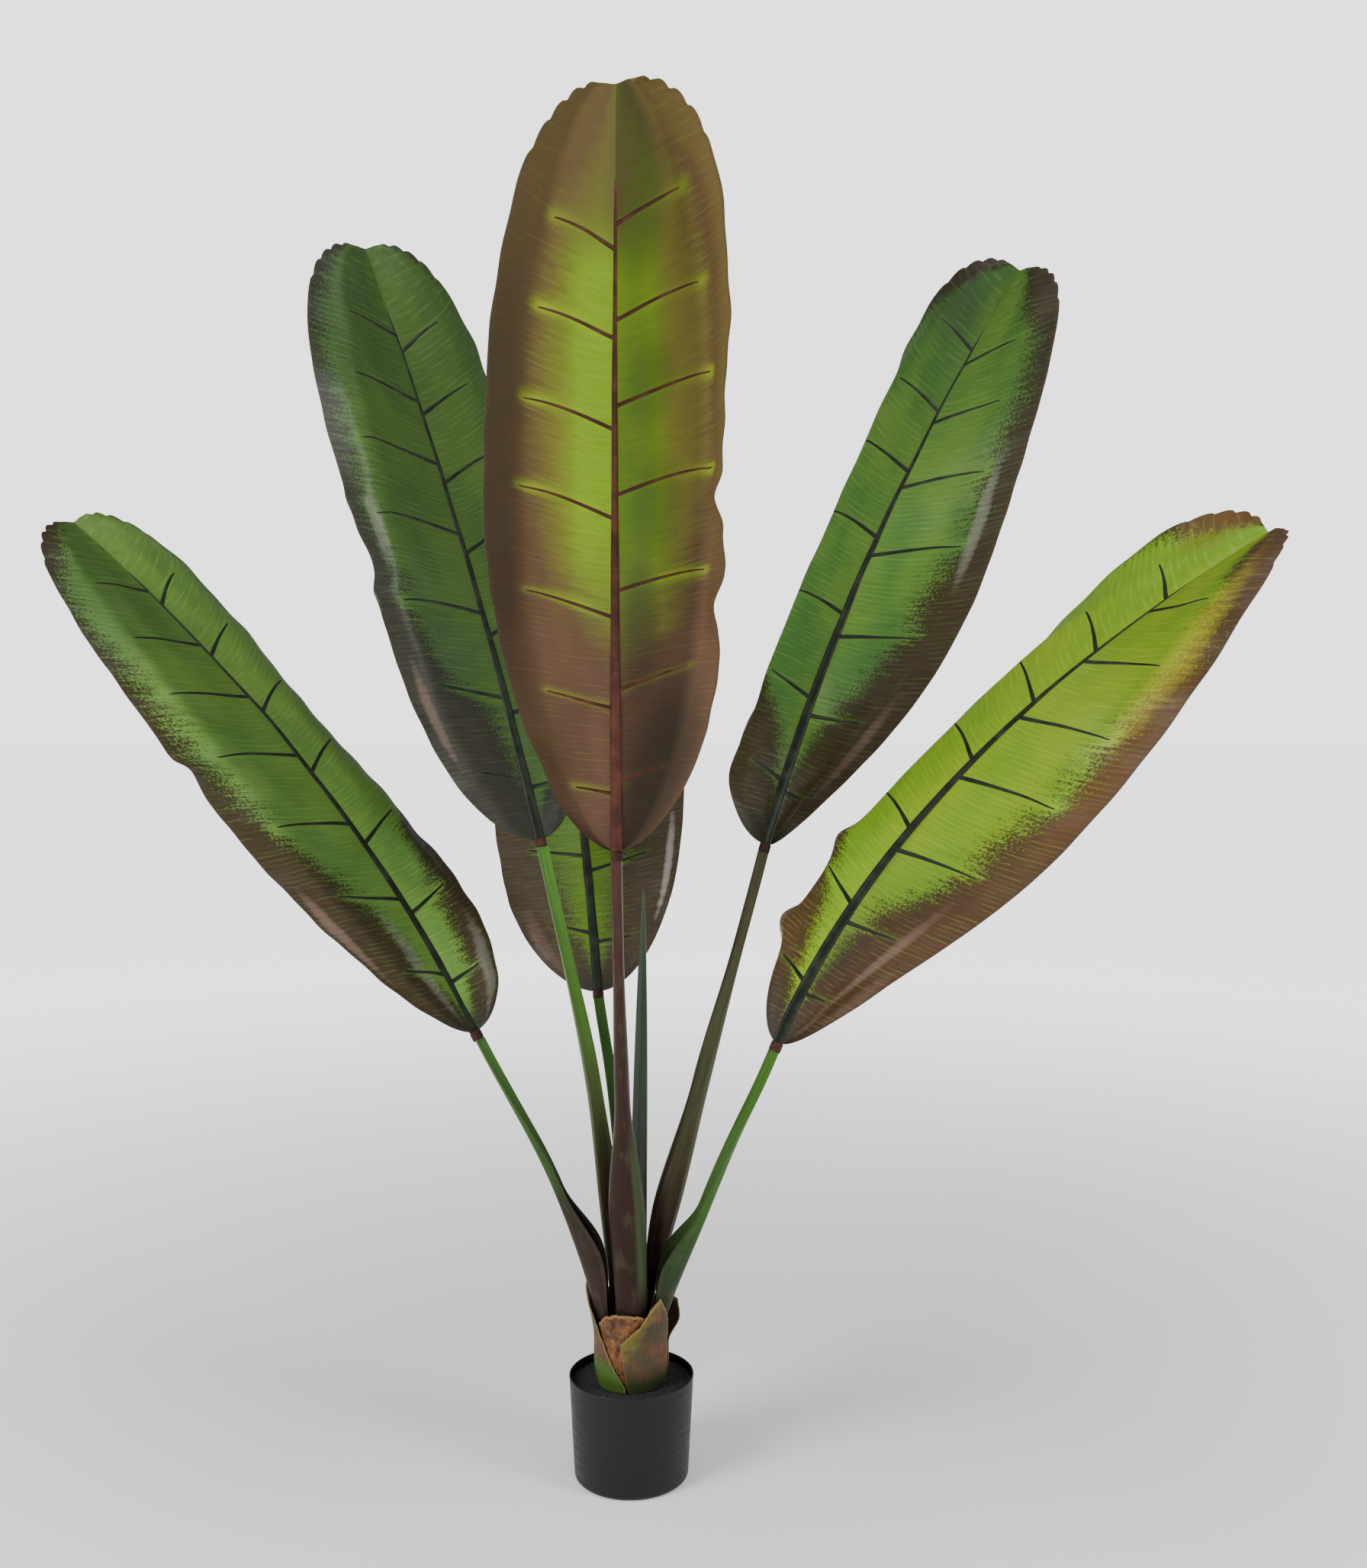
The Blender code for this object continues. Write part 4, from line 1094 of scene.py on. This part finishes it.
def make_rolled_finish():
    finish = Finish("rolled_leaf_green", Specular_IOR_Level=0.25)
    along, around = finish.place()
    streaks = finish.grain(along * 10.0, around * 30.0, 0.0, 3.0)
    stops = ((0.0, (0.013, 0.018, 0.011)), (0.5, (0.015, 0.024, 0.014)),
             (0.85, (0.018, 0.034, 0.016)), (1.0, (0.024, 0.046, 0.018)))
    finish.colour = finish.colours(along, stops)
    finish.cover(finish.rise(streaks, 0.4, 0.7, 0.0, 0.4), (0.008, 0.01, 0.007))
    finish.cover(finish.rise(around, 0.93, 0.99), (0.036, 0.026, 0.017))
    finish.bump(streaks, 0.0005, 0.4)
    return finish.paint(finish.colour, 0.45)


def make_pot_finish():
    finish = Finish("pot_black_plastic", Specular_IOR_Level=0.22)
    around, up = finish.place()
    where = finish.where()
    drag = finish.grain(around * 220.0, up * 6.0, 0.0, 2.0)
    grain = finish.noise(where, 900.0, 2.0)
    scuffs = finish.grain(around * 14.0, up * 60.0, 3.0, 4.0, 0.7)
    worn = finish.rise(scuffs, 0.6, 0.75, 0.0, 0.5)
    finish.colour = finish.mix(worn, (0.009, 0.0096, 0.0096), (0.017, 0.018, 0.0176))
    finish.bump(drag * 0.5 + grain, 0.00025, 0.5)
    return finish.paint(finish.colour, finish.rise(scuffs, 0.3, 0.7, 0.36, 0.5))


def make_soil_finish():
    finish = Finish("fill_black")
    where = finish.where()
    clods = finish.noise(where, 160.0, 5.0, 0.7)
    specks = finish.node("ShaderNodeTexVoronoi", None, {"Vector": where, "Scale": 95.0})
    which = finish.noise(where, 40.0, 1.0)
    pale = finish.rise(specks, 0.1, 0.16, 1.0, 0.0) * finish.rise(which, 0.62, 0.66)
    finish.colour = finish.mix(finish.rise(clods, 0.35, 0.7), (0.006, 0.007, 0.007), (0.02, 0.021, 0.021))
    finish.cover(pale, (0.16, 0.16, 0.15))
    finish.bump(clods, 0.003, 0.8)
    return finish.paint(finish.colour, 0.85)


def make_stem_finish():
    finish = Finish("stem_bark")
    where = finish.where()
    rings = finish.noise(where, 120.0, 4.0, 0.6)
    finish.bump(rings, 0.001, 0.5)
    return finish.paint(finish.mix(rings, (0.02, 0.016, 0.012), (0.06, 0.045, 0.03)), 0.65)


def make_plant():
    rib_dark = make_rib_finish("rib_dark", (0.007, 0.01, 0.007), (0.017, 0.023, 0.014), 0.4)
    rib_red = make_rib_finish("rib_red", (0.036, 0.01, 0.007), (0.072, 0.023, 0.014), 0.5)
    sleeve_red = make_rib_finish("sleeve_red", (0.02, 0.008, 0.006), (0.048, 0.018, 0.012), 0.7)
    for name in LEAVES:
        finishes = [make_leaf_finish(name, PAINT[name], False), make_leaf_finish(name, PAINT[name], True)]
        make_leaf(name, finishes)
        make_ribs(name, [rib_dark, rib_red])
        make_collar(name, sleeve_red)
        make_stalk(name, make_stalk_finish(name))
    for name in HUSKS:
        make_husk(name, make_husk_finish(name))
    make_rolled_leaf(make_rolled_finish())
    make_pot(make_pot_finish())
    make_soil(make_soil_finish())
    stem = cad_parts["stem"]
    stem.data.materials.clear()
    stem.data.materials.append(make_stem_finish())


# The room: pale floor, soft light and the camera of the photograph
SOFT_LIGHT = 0.26
BACKDROP = 2.4
FAR_FLOOR = 2.0
SENSOR = 36
# Focal length, height and shift of the photograph in its own pixels
FOCAL_LENGTH = 1981
PHOTO_HEIGHT = 2055
PHOTO_SHIFT = -72.5


def area_light(name, place, aim, size, power):
    light = bpy.data.lights.new(name, "AREA")
    light.shape = "RECTANGLE"
    light.size, light.size_y = size
    light.energy = power
    lamp = add_object(name, light)
    lamp.location = place
    away = np.array(place) - np.array(aim)
    flat = math.hypot(away[0], away[1])
    lamp.rotation_euler = (math.atan2(flat, away[2]), 0, math.atan2(away[1], away[0]) + math.pi / 2)


def make_world():
    """Soft even light, with a paler background than it gives off."""
    world = bpy.data.worlds.new("studio")
    bpy.context.scene.world = world
    world.use_nodes = True
    tree = world.node_tree
    seen = tree.nodes.new("ShaderNodeLightPath").outputs["Is Camera Ray"]
    power = tree.nodes.new("ShaderNodeMapRange")
    power.inputs[3].default_value = SOFT_LIGHT
    power.inputs[4].default_value = BACKDROP
    tree.links.new(seen, power.inputs[0])
    tree.links.new(power.outputs[0], tree.nodes["Background"].inputs[1])
    tree.nodes["Background"].inputs[0].default_value = (1.0, 1.0, 1.0, 1.0)


def make_floor():
    """A pale floor that glows more the farther it is from the plant, so that it brightens into the
    background.
    """
    finish = Finish("floor_pale", Roughness=0.8, Specular_IOR_Level=0.2)
    where = finish.where()
    finish.paint(finish.mix(finish.noise(where, 3.0), (0.86, 0.86, 0.86), (0.9, 0.9, 0.9)))
    distance = finish.node("ShaderNodeVectorMath", {"operation": "LENGTH"}, {0: where}, "Value")
    finish.shader.inputs["Emission Strength"].default_value = FAR_FLOOR
    glow = finish.grey(finish.rise(distance, 0.3, 4.5, 0.1, 1.0))
    finish.set(finish.shader.inputs["Emission Color"], glow)
    mesh = bpy.data.meshes.new("floor")
    mesh.from_pydata([(-90, -90, 0), (90, -90, 0), (90, 90, 0), (-90, 90, 0)], [], [(0, 1, 2, 3)])
    mesh.materials.append(finish.material)
    floor = add_object("floor", mesh)


def make_room():
    make_world()
    area_light("key", (-2.6, -2.2, 2.3), (0, 0, 1.0), (1.6, 2.4), 150)
    area_light("fill", (2.7, -1.6, 1.6), (0, 0, 1.0), (1.0, 2.2), 65)
    area_light("top", (0.2, -0.6, 4.2), (0, 0, 1.0), (2.0, 2.0), 50)
    make_floor()


def make_camera():
    lens = bpy.data.cameras.new("camera")
    lens.sensor_width = SENSOR
    lens.lens = SENSOR * FOCAL_LENGTH / PHOTO_HEIGHT
    lens.shift_y = PHOTO_SHIFT / PHOTO_HEIGHT
    lens.clip_start = 0.05
    lens.clip_end = 200
    camera = add_object("camera", lens)
    camera.location = (0.0712, -2.07, 1.02)
    camera.rotation_euler = (math.radians(90), 0, 0)
    bpy.context.scene.camera = camera


make_camera()
make_room()
make_plant()
